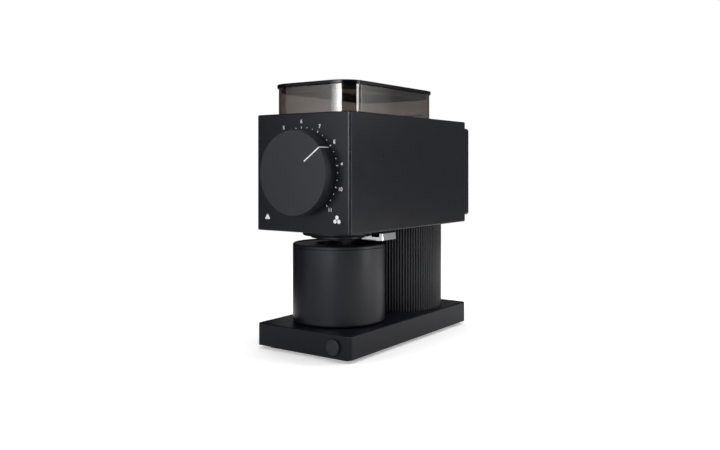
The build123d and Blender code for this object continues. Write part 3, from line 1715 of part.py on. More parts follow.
# ---------------------------------------------------------------- cup
cup_bottom = base_top + dock_gap
cup_axis = Axis((0, cup_y, 0), (0, 0, 1))
cup_side = Plane(origin=(0, cup_y, 0), x_dir=(1, 0, 0), z_dir=(0, -1, 0))
cup_recess = cup_disc_thickness + seat_clearance
with BuildPart() as grounds_cup:
    with BuildSketch(cup_side):
        with BuildLine():
            Polyline(
                (0, cup_bottom + cup_recess),
                (cup_disc_radius + seat_clearance, cup_bottom + cup_recess),
                (cup_disc_radius + seat_clearance, cup_bottom),
                (cup_radius, cup_bottom),
                (cup_radius, cup_top),
                (cup_radius - cup_wall, cup_top),
                (cup_radius - cup_wall, cup_bottom + cup_recess + cup_floor),
                (0, cup_bottom + cup_recess + cup_floor),
                close=True,
            )
        make_face()
        foot_corner = vertices().group_by(Axis.Y)[0].sort_by(Axis.X)[-1]
        floor_corner = vertices().group_by(Axis.Y)[2].sort_by(Axis.X)[-1]
        fillet([foot_corner, floor_corner], cup_edge)
    revolve(axis=cup_axis)
pieces["grounds_cup"] = grounds_cup

with BuildPart() as cup_base_disc:
    with BuildSketch(Plane((0, cup_y, cup_bottom + seat_clearance))):
        Circle(cup_disc_radius)
    extrude(amount=cup_disc_thickness)
pieces["cup_base_disc"] = cup_base_disc

lid_low = cup_top + seat_clearance
lid_high = lid_low + cup_lid_rim
lid_plate = lid_high - cup_lid_edge
lid_under = lid_low + cup_lid_web
lip_radius = cup_lid_hole + cup_lid_lip
plug_bottom = lid_low - cup_lid_plug
plug_radius = cup_radius - cup_wall - seat_clearance
bead_outer = cup_radius - cup_lid_edge
bead_inner = bead_outer - cup_lid_bead
cup_lid = turned(
    [
        (plug_bottom, plug_radius - cup_lid_wall),
        (plug_bottom, plug_radius - cup_lid_taper),
        (plug_bottom + cup_lid_taper, plug_radius),
        (lid_low, plug_radius),
        (lid_low, cup_radius - cup_lid_seam),
        (lid_low + cup_lid_seam, cup_radius),
        (lid_plate, cup_radius),
        (lid_high, bead_outer),
        (lid_high, bead_inner),
        (lid_plate, bead_inner - cup_lid_edge),
        (lid_plate, lip_radius),
        (lid_high - cup_lid_lip_top, lip_radius - cup_lid_taper),
        (lid_high - cup_lid_lip_top, cup_lid_hole),
        (lid_low - cup_lid_lip_drop, cup_lid_hole),
        (lid_low - cup_lid_lip_drop, lip_radius),
        (lid_under, lip_radius),
        (lid_under, plug_radius - cup_lid_wall),
    ],
    Plane(origin=(0, cup_y, 0), x_dir=(0, 0, 1), z_dir=(0, 1, 0)),
    cup_axis,
)
pieces["cup_lid"] = cup_lid

# ---------------------------------------------------------------- chute, collar and knocker
chute_top = outlet_face
spout_top = housing_bottom + spout_neck
pivot_spot = (knocker_pivot_x, pivot_height)
ear_front = cup_y + knocker_offset - knocker_arm / 2 - motion_clearance
ear_rear = cup_y + knocker_offset + knocker_arm / 2 + motion_clearance
ear_plane_front = Plane(origin=(0, ear_front, 0), x_dir=(1, 0, 0), z_dir=(0, -1, 0))
ear_plane_rear = Plane(origin=(0, ear_rear + ear_thickness, 0), x_dir=(1, 0, 0), z_dir=(0, -1, 0))
outlet_y = front_face + outlet_middle


def chute_body(grow):
    """Loft from the outlet's rectangle down to the round spout, widened by grow on each side."""
    with BuildPart() as body:
        with BuildSketch(Plane((0, outlet_y, chute_top))):
            RectangleRounded(
                outlet_width + 2 * grow, outlet_length + 2 * grow, chute_corner + grow
            )
        with BuildSketch(Plane((0, cup_y, spout_top))):
            Circle(spout_radius - chute_wall + grow)
        loft()
        with BuildSketch(Plane((0, cup_y, spout_top))):
            Circle(spout_radius - chute_wall + grow)
        extrude(amount=spout_bottom - spout_top)
    return body


chute_outside = chute_body(chute_wall)
chute_inside = chute_body(0)
with BuildPart() as grounds_chute:
    add(chute_outside.part)
    with BuildSketch(Plane((0, outlet_y, chute_top))):
        Rectangle(outlet_width + 2 * outlet_wall, outlet_length + 2 * outlet_wall)
    extrude(amount=-chute_flange)
    for ear_plane in (ear_plane_front, ear_plane_rear):
        with BuildSketch(ear_plane):
            with BuildLine():
                Polyline(
                    (outlet_width / 2 - ear_root, chute_top - ear_root_height),
                    (outlet_width / 2 - ear_root, chute_top),
                    (outlet_width / 2 + outlet_wall, chute_top),
                    (knocker_pivot_x - ear_foot, pivot_height + ear_crest),
                    (knocker_pivot_x + ear_reach, pivot_height + ear_height),
                    (knocker_pivot_x + ear_reach, pivot_height - ear_height),
                    (knocker_pivot_x - ear_foot, pivot_height - ear_reach),
                    close=True,
                )
            make_face()
            with Locations(pivot_spot):
                Circle(knocker_pin_radius + running_clearance, mode=Mode.SUBTRACT)
        extrude(amount=ear_thickness)
    add(chute_inside.part, mode=Mode.SUBTRACT)
pieces["grounds_chute"] = grounds_chute

collar_bottom = housing_bottom - collar_height
skirt_bottom = collar_bottom - collar_skirt_height
notch_inner = knocker_inner - knocker_notch
notch_front = knocker_front - knocker_notch_front
with BuildPart() as chute_collar:
    with BuildSketch(Plane(origin=(0, cup_y, 0), x_dir=(1, 0, 0), z_dir=(0, -1, 0))):
        with BuildLine():
            Polyline(
                (spout_radius + motion_clearance, housing_bottom),
                (collar_radius, housing_bottom),
                (collar_radius, collar_bottom + collar_chamfer),
                (collar_radius - collar_chamfer / 2, collar_bottom),
                (collar_skirt_radius, collar_bottom),
                (collar_skirt_radius, skirt_bottom),
                (spout_radius + motion_clearance, skirt_bottom),
                close=True,
            )
        make_face()
    revolve(axis=cup_axis)
    with BuildSketch(Plane((0, cup_y, collar_bottom))):
        with Locations(((shank_slot_inner + shank_slot_outer) / 2, knocker_offset)):
            Rectangle(shank_slot_outer - shank_slot_inner, shank_slot_width)
    extrude(amount=collar_height, mode=Mode.SUBTRACT)
    # The skirt is cut away where the knocker's tab swings in.
    with BuildSketch(Plane((0, cup_y, skirt_bottom))):
        with BuildLine():
            Polyline(
                (notch_inner, notch_front),
                (collar_radius, notch_front),
                (collar_radius, knocker_rear),
                (notch_inner, knocker_rear),
                close=True,
            )
        make_face()
    extrude(amount=collar_skirt_height, mode=Mode.SUBTRACT)
    with Locations(Plane(origin=(0, cup_y, collar_bottom), x_dir=(1, 0, 0), z_dir=(0, 0, -1))):
        with Locations(*collar_screw_spots):
            CounterSinkHole(
                small_screw + seat_clearance,
                2 * small_screw + seat_clearance,
                collar_height,
                sink_angle,
            )
pieces["chute_collar"] = chute_collar
pieces["collar_screws"] = sunk_screws(
    Plane(origin=(0, cup_y, collar_bottom), x_dir=(1, 0, 0), z_dir=(0, 0, -1)),
    [(x, -y) for x, y in collar_screw_spots],
    small_screw,
    collar_height + housing_wall - screw_tip_gap,
)

arm_top = pivot_height + knocker_arm_top
arm_bottom = pivot_height + knocker_arm_bottom
plate_top_height = knocker_bottom + knocker_plate
lip_front = knocker_front + knocker_lip_front
lip_rear = knocker_rear - knocker_lip_rear
shank_rear = knocker_shank + knocker_shank_width
hub_top = pivot_height + knocker_hub
hub_bottom = pivot_height - knocker_hub
heel_bottom = pivot_height - knocker_heel_bottom
heel_top = pivot_height - knocker_heel_top
lever_plane = Plane(
    origin=(0, cup_y + knocker_offset + knocker_arm / 2, 0), x_dir=(1, 0, 0), z_dir=(0, -1, 0)
)
with BuildPart() as knocker_lever:
    # Chromed tab beside the collar, with a lip along its outer edge.
    with BuildSketch(Plane((0, cup_y, knocker_bottom))):
        with BuildLine():
            Polyline(
                (knocker_inner, knocker_rear),
                (knocker_inner, knocker_front),
                (knocker_reach, knocker_front),
                (knocker_reach, knocker_rear),
                close=True,
            )
        make_face()
        tab_corners = vertices().group_by(Axis.X)[-1]
        fillet(tab_corners.sort_by(Axis.Y)[0], knocker_corner)
        fillet(vertices().group_by(Axis.X)[-1].sort_by(Axis.Y)[-1], knocker_rear_corner)
    extrude(amount=knocker_plate)
    with BuildSketch(Plane((0, cup_y, plate_top_height))):
        with Locations((knocker_reach - knocker_lip / 2, (lip_front + lip_rear) / 2)):
            RectangleRounded(knocker_lip, lip_rear - lip_front, knocker_lip_corner)
    extrude(amount=knocker_lip_height - knocker_plate)
    # Shank up through the collar and the housing's floor, arm and heel inside.
    with BuildSketch(lever_plane):
        with BuildLine():
            Polyline(
                (knocker_shank, plate_top_height - knocker_shank_root),
                (knocker_shank, arm_bottom),
                (knocker_pivot_x + knocker_hub_length, arm_bottom),
                (knocker_pivot_x + knocker_hub_rear, hub_bottom),
                (knocker_pivot_x - knocker_hub_front, hub_bottom),
                (knocker_pivot_x - knocker_hub_front, heel_bottom),
                (knocker_pivot_x - knocker_heel, heel_bottom),
                (knocker_pivot_x - knocker_heel, heel_top),
                (knocker_pivot_x - knocker_hub, pivot_height + knocker_heel_slope),
                (knocker_pivot_x - knocker_heel_crown, hub_top),
                (knocker_pivot_x + knocker_hub_rear, hub_top),
                (knocker_pivot_x + knocker_hub_length, arm_top),
                (shank_rear, arm_top),
                (shank_rear, plate_top_height - knocker_shank_root),
                close=True,
            )
        make_face()
        with Locations(pivot_spot):
            Circle(knocker_pin_radius + slide_clearance, mode=Mode.SUBTRACT)
    extrude(amount=knocker_arm)
pieces["knocker_lever"] = knocker_lever

with BuildPart() as knocker_pin:
    with BuildSketch(ear_plane_front.offset(ear_thickness + knocker_pin_head)):
        with Locations(pivot_spot):
            Circle(2 * knocker_pin_radius)
    extrude(amount=-knocker_pin_head)
    with BuildSketch(ear_plane_front.offset(ear_thickness)):
        with Locations(pivot_spot):
            Circle(knocker_pin_radius)
    extrude(amount=-(ear_rear - ear_front + 2 * ear_thickness + knocker_pin_head))
pieces["knocker_pin"] = knocker_pin

knocker_spring_base = housing_floor + knocker_wire + slide_clearance
knocker_spring_length = arm_bottom - housing_floor - 2 * knocker_wire - 2 * slide_clearance
with BuildPart() as knocker_spring:
    with BuildLine():
        knock_coil = Helix(
            knocker_spring_length / knocker_turns,
            knocker_spring_length,
            knocker_coil,
            center=(knocker_spring_x, cup_y + knocker_offset, knocker_spring_base),
        )
    with BuildSketch(Plane(origin=knock_coil @ 0, z_dir=knock_coil % 0)):
        RegularPolygon(knocker_wire, 6)
    sweep(is_frenet=True)
pieces["knocker_spring"] = knocker_spring

# ---------------------------------------------------------------- write the parts
for name, piece in pieces.items():
    piece.part.label = name
    export_step(piece.part, f"parts/{name}.step")
    print(name, len(piece.part.solids()), "solids", round(piece.part.volume), "mm3")
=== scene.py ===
import json
import logging
import math
from dataclasses import dataclass, field
from enum import Enum
from typing import Callable, Optional, Sequence, Union

import bmesh
import bpy
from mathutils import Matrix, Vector

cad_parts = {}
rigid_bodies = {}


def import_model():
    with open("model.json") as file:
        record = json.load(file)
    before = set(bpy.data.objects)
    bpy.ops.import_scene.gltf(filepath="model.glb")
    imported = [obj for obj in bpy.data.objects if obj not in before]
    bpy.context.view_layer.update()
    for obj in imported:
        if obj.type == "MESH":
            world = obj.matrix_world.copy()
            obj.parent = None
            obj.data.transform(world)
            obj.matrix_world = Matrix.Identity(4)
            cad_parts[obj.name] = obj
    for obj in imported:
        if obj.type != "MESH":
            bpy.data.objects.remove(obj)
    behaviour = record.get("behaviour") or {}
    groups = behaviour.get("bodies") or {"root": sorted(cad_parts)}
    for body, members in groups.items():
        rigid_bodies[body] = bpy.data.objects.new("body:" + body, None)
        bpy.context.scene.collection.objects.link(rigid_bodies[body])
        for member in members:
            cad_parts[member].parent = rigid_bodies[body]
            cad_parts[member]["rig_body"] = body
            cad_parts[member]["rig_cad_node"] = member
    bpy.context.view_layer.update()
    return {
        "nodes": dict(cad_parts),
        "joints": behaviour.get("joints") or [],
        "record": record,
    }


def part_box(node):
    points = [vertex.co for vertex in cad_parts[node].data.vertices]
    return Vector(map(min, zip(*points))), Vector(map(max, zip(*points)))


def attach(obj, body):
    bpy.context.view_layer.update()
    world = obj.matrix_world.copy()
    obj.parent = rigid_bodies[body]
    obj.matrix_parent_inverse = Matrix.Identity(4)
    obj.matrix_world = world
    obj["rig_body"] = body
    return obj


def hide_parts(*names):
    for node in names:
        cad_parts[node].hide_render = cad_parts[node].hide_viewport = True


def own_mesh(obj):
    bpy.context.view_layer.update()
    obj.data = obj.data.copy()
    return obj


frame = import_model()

log = logging.getLogger("grinder")

MM = 0.001
QUARTER_TURN = math.pi / 2
MERGE_DISTANCE = 0.001 * MM
Colour = tuple[float, float, float]
Triple = tuple[float, float, float]
Number = Union[float, "Value"]
Pieces = list[bpy.types.Object]


# ---------------------------------------------------------------- shader tools
class Value:
    """A number on a shader socket that Python's own operators work on."""

    def __init__(self, recipe: "Recipe", socket: bpy.types.NodeSocket) -> None:
        """Wraps a socket.

        Args:
            recipe: The node tree that the socket belongs to.
            socket: An output socket that carries a number.
        """
        self.recipe = recipe
        self.socket = socket

    def _join(self, operation: str, first: Number, second: Number) -> "Value":
        """Adds one Math node and returns its result."""
        made = self.recipe.node("ShaderNodeMath", {"operation": operation}, {0: first, 1: second})
        return Value(self.recipe, made.outputs[0])

    def __add__(self, other: Number) -> "Value":
        """Sum with a value or number."""
        return self._join("ADD", self, other)

    __radd__ = __add__

    def __sub__(self, other: Number) -> "Value":
        """Difference from a value or number."""
        return self._join("SUBTRACT", self, other)

    def __rsub__(self, other: Number) -> "Value":
        """Difference of a number and this value."""
        return self._join("SUBTRACT", other, self)

    def __mul__(self, other: Number) -> "Value":
        """Product with a value or number."""
        return self._join("MULTIPLY", self, other)

    __rmul__ = __mul__

    def __truediv__(self, other: Number) -> "Value":
        """Quotient by a value or number."""
        return self._join("DIVIDE", self, other)

    def __rtruediv__(self, other: Number) -> "Value":
        """Quotient of a number by this value."""
        return self._join("DIVIDE", other, self)

    def __pow__(self, other: Number) -> "Value":
        """Power of a value or number."""
        return self._join("POWER", self, other)

    def __rpow__(self, other: Number) -> "Value":
        """Power of a number to this value."""
        return self._join("POWER", other, self)

    def at_least(self, other: Number) -> "Value":
        """The larger of this and another value."""
        return self._join("MAXIMUM", self, other)

    def at_most(self, other: Number) -> "Value":
        """The smaller of this and another value."""
        return self._join("MINIMUM", self, other)


def solid(colour: Colour) -> tuple[float, float, float, float]:
    """A colour with the opaque fourth number that a socket takes."""
    return (*colour, 1.0)


WHITE = solid((1.0, 1.0, 1.0))
# A Mix node has sockets for each kind of data; these are the ones for colours.
MIX_SHARE, MIX_FIRST, MIX_SECOND, MIX_RESULT = 0, 6, 7, 2
MEAN_NOISE = 0.5


class Recipe:
    """The node tree of one material or world, with one way to add a node."""

    def __init__(self, tree: bpy.types.NodeTree) -> None:
        """Clears a tree to start from.

        Args:
            tree: The node tree to fill.
        """
        self.tree = tree
        tree.nodes.clear()

    def node(
        self, kind: str, settings: Optional[dict] = None, sockets: Optional[dict] = None
    ) -> bpy.types.Node:
        """Adds a node, sets it up and connects it.

        Args:
            kind: The node's type.
            settings: Its properties, set before its sockets.
            sockets: A plain value, a Value or an output socket for each input, by name or number.

        Returns:
            The new node.
        """
        made = self.tree.nodes.new(kind)
        for key, setting in (settings or {}).items():
            setattr(made, key, setting)
        for key, given in (sockets or {}).items():
            socket = made.inputs[key]
            if isinstance(given, Value):
                self.tree.links.new(given.socket, socket)
            elif isinstance(given, bpy.types.NodeSocket):
                self.tree.links.new(given, socket)
            else:
                socket.default_value = given
        return made

    def value(self, node: bpy.types.Node, output: Union[str, int] = 0) -> Value:
        """The number on one of a node's outputs."""
        return Value(self, node.outputs[output])

    def place(self) -> bpy.types.NodeSocket:
        """Object coordinates, which are the part's own metres."""
        return self.node("ShaderNodeTexCoord").outputs["Object"]

    def noise(self, size: float, detail: float = 2.0, stretch: Triple = (1.0, 1.0, 1.0)) -> Value:
        """Smooth noise.

        Args:
            size: Width of one blot in metres.
            detail: Levels of finer noise.
            stretch: Factors on the coordinates, larger for a finer pattern along that axis.

        Returns:
            Noise about 0.5.
        """
        mapping = self.node("ShaderNodeMapping", {}, {"Vector": self.place(), "Scale": stretch})
        made = self.node(
            "ShaderNodeTexNoise",
            {},
            {"Vector": mapping.outputs[0], "Scale": 1.0 / size, "Detail": detail},
        )
        return self.value(made)

    def mix(self, share: Number, first: Colour, second: Colour) -> bpy.types.NodeSocket:
        """Blends two colours.

        Args:
            share: How much of the second colour, from 0 to 1.
            first: Colour at 0.
            second: Colour at 1.

        Returns:
            The socket with the blended colour.
        """
        sockets = {MIX_SHARE: share, MIX_FIRST: solid(first), MIX_SECOND: solid(second)}
        return self.node("ShaderNodeMix", {"data_type": "RGBA"}, sockets).outputs[MIX_RESULT]

    def bump(self, height: Value, depth: float) -> bpy.types.NodeSocket:
        """Normals for a relief of the given depth in metres."""
        sockets = {"Strength": 1.0, "Distance": depth, "Height": height}
        return self.node("ShaderNodeBump", {}, sockets).outputs[0]

    def glow(self, strength: float) -> bpy.types.NodeSocket:
        """An even white glow."""
        sockets = {"Color": WHITE, "Strength": strength}
        return self.node("ShaderNodeEmission", {}, sockets).outputs[0]

    def sky(self, strength: float) -> bpy.types.NodeSocket:
        """An even white light from all round."""
        sockets = {"Color": WHITE, "Strength": strength}
        return self.node("ShaderNodeBackground", {}, sockets).outputs[0]

    def blend(
        self, share: Number, first: bpy.types.NodeSocket, second: bpy.types.NodeSocket
    ) -> bpy.types.NodeSocket:
        """Mixes two shaders by the second one's share."""
        return self.node("ShaderNodeMixShader", {}, {0: share, 1: first, 2: second}).outputs[0]

    def end(self, **sockets: bpy.types.NodeSocket) -> None:
        """Connects a material's output."""
        self.node("ShaderNodeOutputMaterial", {}, sockets)


def new_material(name: str) -> tuple[bpy.types.Material, Recipe]:
    """Makes an empty material.

    Args:
        name: The material's name.

    Returns:
        The material and the recipe that fills it.
    """
    material = bpy.data.materials.new(name)
    material.use_nodes = True
    return material, Recipe(material.node_tree)


# ---------------------------------------------------------------- finishes
@dataclass(frozen=True)
class Finish:
    """A procedural finish round one Principled shader."""

    name: str

    def fill(self, recipe: Recipe) -> dict:
        """Sets out what feeds the shader.

        Args:
            recipe: The node tree to fill.

        Returns:
            A value or socket for each input, and under "Volume" what fills the piece, if anything.
        """
        raise NotImplementedError

    def make(self) -> bpy.types.Material:
        """Builds the material.

        Returns:
            The material.
        """
        material, recipe = new_material(self.name)
        sockets = self.fill(recipe)
        ends = {"Volume": sockets.pop("Volume")} if "Volume" in sockets else {}
        shader = recipe.node("ShaderNodeBsdfPrincipled", {}, sockets)
        recipe.end(Surface=shader.outputs[0], **ends)
        return material


@dataclass(frozen=True)
class MatteCoat(Finish):
    """Powder coat, moulded plastic or rubber: a fine grain with slight mottling.

    Grain, depth and mottle are sizes in metres; the two dullings are how far each changes the
    roughness.
    """

    colour: Colour
    paler: Colour
    roughness: float
    grain: float
    depth: float
    shine: float
    mottle: float = 12 * MM
    mottle_detail: float = 3.0
    mottle_share: float = 0.6
    grain_share: float = 0.4
    threshold: float = 0.3
    mottle_dulling: float = 0.10
    grain_dulling: float = 0.06

    def fill(self, recipe: Recipe) -> dict:
        """Sets out the coat's colour, roughness and relief.

        Args:
            recipe: The node tree to fill.

        Returns:
            A value or socket for each input.
        """
        mottle = recipe.noise(self.mottle, self.mottle_detail)
        grain = recipe.noise(self.grain)
        paler = mottle * self.mottle_share + grain * self.grain_share - self.threshold
        share = paler.at_least(0.0).at_most(1.0)
        return {
            "Base Color": recipe.mix(share, self.colour, self.paler),
            "Roughness": self.roughness
            + (mottle - MEAN_NOISE) * self.mottle_dulling
            + (grain - MEAN_NOISE) * self.grain_dulling,
            "Specular IOR Level": self.shine,
            "Normal": recipe.bump(grain, self.depth),
        }


class Working(Enum):
    """How a metal's surface was made."""

    PLATED = "plated"
    TURNED = "turned"
    DRAWN = "drawn"
    CAST = "cast"


@dataclass(frozen=True)
class Marks:
    """The relief that a way of working leaves on a metal."""

    size: float
    detail: float
    depth: float
    stretch: Triple = (1.0, 1.0, 1.0)


MARKS = {
    Working.PLATED: Marks(0.5 * MM, 2.0, 0.0012 * MM),
    Working.TURNED: Marks(0.35 * MM, 1.0, 0.012 * MM, (0.15, 1.0, 0.15)),
    Working.DRAWN: Marks(0.4 * MM, 1.0, 0.010 * MM, (1.0, 0.06, 1.0)),
    Working.CAST: Marks(0.9 * MM, 4.0, 0.06 * MM),
}


@dataclass(frozen=True)
class Metal(Finish):
    """A bare or plated metal with the marks of how it was worked."""

    colour: Colour
    duller: Colour
    roughness: float
    working: Working
    cloud: float = 9 * MM
    cloud_detail: float = 3.0
    cloud_dulling: float = 0.08
    marks_dulling: float = 0.10

    def fill(self, recipe: Recipe) -> dict:
        """Sets out the metal's colour, roughness and relief.

        Args:
            recipe: The node tree to fill.

        Returns:
            A value or socket for each input.
        """
        left = MARKS[self.working]
        cloud = recipe.noise(self.cloud, self.cloud_detail)
        marks = recipe.noise(left.size, left.detail, left.stretch)
        return {
            "Base Color": recipe.mix(cloud, self.colour, self.duller),
            "Metallic": 1.0,
            "Roughness": self.roughness
            + (cloud - MEAN_NOISE) * self.cloud_dulling
            + (marks - MEAN_NOISE) * self.marks_dulling,
            "Normal": recipe.bump(marks, left.depth),
        }


@dataclass(frozen=True)
class SmokyClear(Finish):
    """Polished see-through plastic, tinted in the mass."""

    surface_tint: Colour
    handled_tint: Colour
    mass_tint: Colour
    density: float
    refraction: float = 1.49
    polish: float = 0.015
    handling: float = 0.03
    handled_patch: float = 25 * MM
    haze_patch: float = 4 * MM
    haze_detail: float = 3.0

    def fill(self, recipe: Recipe) -> dict:
        """Sets out the plastic's tint and polish.

        Args:
            recipe: The node tree to fill.

        Returns:
            A value or socket for each input, and the tint of the mass.
        """
        handled = recipe.noise(self.handled_patch)
        haze = recipe.noise(self.haze_patch, self.haze_detail)
        mass = recipe.node(
            "ShaderNodeVolumeAbsorption",
            {},
            {"Color": solid(self.mass_tint), "Density": self.density},
        )
        return {
            "Base Color": recipe.mix(handled, self.surface_tint, self.handled_tint),
            "Roughness": self.polish + haze * self.handling,
            "IOR": self.refraction,
            "Transmission Weight": 1.0,
            "Volume": mass.outputs[0],
        }


@dataclass(frozen=True)
class CircuitBoard(Finish):
    """Green solder mask over copper tracks."""

    mask: Colour
    over_tracks: Colour
    roughness: float = 0.42
    polish_over_tracks: float = 0.1
    tracks_per_metre: float = 220.0
    track_width: float = 0.06
    track_height: float = 0.03 * MM
    fields: tuple[Colour, Colour] = ((0.0, 0.0, 0.0), (0.1, 0.1, 0.1))

    def fill(self, recipe: Recipe) -> dict:
        """Sets out the tracks under the mask.

        Args:
            recipe: The node tree to fill.

        Returns:
            A value or socket for each input.
        """
        pattern = recipe.node(
            "ShaderNodeTexBrick",
            {"offset": 0.5},
            {
                "Vector": recipe.place(),
                "Color1": solid(self.fields[0]),
                "Color2": solid(self.fields[1]),
                "Mortar": WHITE,
                "Scale": self.tracks_per_metre,
                "Mortar Size": self.track_width,
            },
        )
        tracks = recipe.value(pattern, "Fac")
        return {
            "Base Color": recipe.mix(tracks, self.mask, self.over_tracks),
            "Roughness": self.roughness - tracks * self.polish_over_tracks,
            "Normal": recipe.bump(tracks, self.track_height),
        }


# The finishes by the record's material slots, and under names of their own the finer ones.
FINISHES: dict[str, Finish] = {
    "case_black": MatteCoat(
        "powder_coat",
        (0.0050, 0.0055, 0.0088),
        (0.0072, 0.0078, 0.0114),
        roughness=0.30,
        grain=0.45 * MM,
        depth=0.010 * MM,
        shine=0.13,
    ),
    # The base's coat is the housing's powder coat, less glossy and painted a little paler: the
    # paler colour is painted light, standing in for the light that the base's front and sides
    # catch.
    "base_coat_painted_paler": MatteCoat(
        "powder_coat_base_painted_paler",
        (0.0056, 0.0061, 0.0096),
        (0.0078, 0.0084, 0.0122),
        roughness=0.32,
        grain=0.45 * MM,
        depth=0.010 * MM,
        shine=0.10,
    ),
    "moulded_black": MatteCoat(
        "moulded_plastic",
        (0.0046, 0.0050, 0.0082),
        (0.0066, 0.0071, 0.0106),
        roughness=0.38,
        grain=0.6 * MM,
        depth=0.008 * MM,
        shine=0.13,
    ),
    "satin_black": MatteCoat(
        "satin_coat",
        (0.0060, 0.0066, 0.0096),
        (0.0080, 0.0087, 0.0122),
        roughness=0.36,
        grain=0.4 * MM,
        depth=0.004 * MM,
        shine=0.13,
    ),
    "gloss_black": MatteCoat(
        "polished_plastic",
        (0.0030, 0.0033, 0.0052),
        (0.0042, 0.0045, 0.0068),
        roughness=0.10,
        grain=0.8 * MM,
        depth=0.002 * MM,
        shine=0.10,
    ),
    "dial_black": MatteCoat(
        "dial_plastic",
        (0.0132, 0.0139, 0.0180),
        (0.0170, 0.0178, 0.0226),
        roughness=0.50,
        grain=0.5 * MM,
        depth=0.006 * MM,
        shine=0.12,
    ),
    "rubber_black": MatteCoat(
        "rubber",
        (0.010, 0.010, 0.011),
        (0.016, 0.016, 0.017),
        roughness=0.75,
        grain=0.8 * MM,
        depth=0.02 * MM,
        shine=0.3,
    ),
    "magnet_grey": MatteCoat(
        "sintered_magnet",
        (0.10, 0.10, 0.105),
        (0.15, 0.15, 0.155),
        roughness=0.6,
        grain=0.5 * MM,
        depth=0.03 * MM,
        shine=0.5,
    ),
    "print_white": MatteCoat(
        "white_print",
        (0.74, 0.74, 0.74),
        (0.82, 0.82, 0.82),
        roughness=0.5,
        grain=0.3 * MM,
        depth=0.003 * MM,
        shine=0.4,
    ),
    "bright_chrome": Metal(
        "chrome_plate", (0.55, 0.56, 0.58), (0.48, 0.49, 0.51), 0.07, Working.PLATED
    ),
    "steel": Metal(
        "machined_steel", (0.60, 0.60, 0.61), (0.50, 0.50, 0.51), 0.32, Working.TURNED
    ),
    "cast_aluminium": Metal(
        "cast_aluminium", (0.68, 0.69, 0.70), (0.56, 0.57, 0.58), 0.42, Working.CAST
    ),
    "copper": Metal("copper_wire", (0.72, 0.36, 0.20), (0.50, 0.22, 0.11), 0.38, Working.DRAWN),
    "hopper_smoke": SmokyClear(
        "smoky_clear_plastic",
        surface_tint=(0.97, 0.965, 0.96),
        handled_tint=(0.93, 0.925, 0.92),
        mass_tint=(0.12, 0.05, 0.0),
        density=610.0,
    ),
    "board_green": CircuitBoard("circuit_board", (0.012, 0.085, 0.032), (0.03, 0.17, 0.06)),
}

# Nodes that share a slot in the record and differ in finish.
FINER = {
    # The base takes the paler copy of the powder coat, whose lift in colour is painted light.
    "base_body": "base_coat_painted_paler",
    "start_button": "dial_black",
    "grind_dial": "dial_black",
    "grounds_cup": "satin_black",
    "cup_lid": "moulded_black",
    "hopper_lid": "gloss_black",
}


class Paints:
    """The finishes as materials, each made once when it is first used."""

    def __init__(self) -> None:
        """Starts with none made."""
        self.made: dict[str, bpy.types.Material] = {}

    def of(self, finish: str) -> bpy.types.Material:
        """Finds a finish's material, and makes it at its first use.

        Args:
            finish: A key of FINISHES.

        Returns:
            The material.
        """
        if finish not in self.made:
            self.made[finish] = FINISHES[finish].make()
        return self.made[finish]

    def coat(self, body: bpy.types.Object, finish: str) -> None:
        """Gives an object one finish in place of what it has."""
        body.data.materials.clear()
        body.data.materials.append(self.of(finish))


paints = Paints()


# ---------------------------------------------------------------- bench tools
def clear_selection() -> None:
    """Leaves edit mode and deselects everything."""
    if bpy.context.object and bpy.context.object.mode != "OBJECT":
        bpy.ops.object.mode_set(mode="OBJECT")
    bpy.ops.object.select_all(action="DESELECT")


def take_up(body: bpy.types.Object) -> None:
    """Makes an object the only selected one.

    Args:
        body: The object.
    """
    clear_selection()
    body.select_set(True)
    bpy.context.view_layer.objects.active = body


def open_whole(body: bpy.types.Object) -> None:
    """Enters edit mode with all of an object's mesh selected.

    Args:
        body: The object.
    """
    take_up(body)
    bpy.ops.object.mode_set(mode="EDIT")
    bpy.ops.mesh.select_all(action="SELECT")


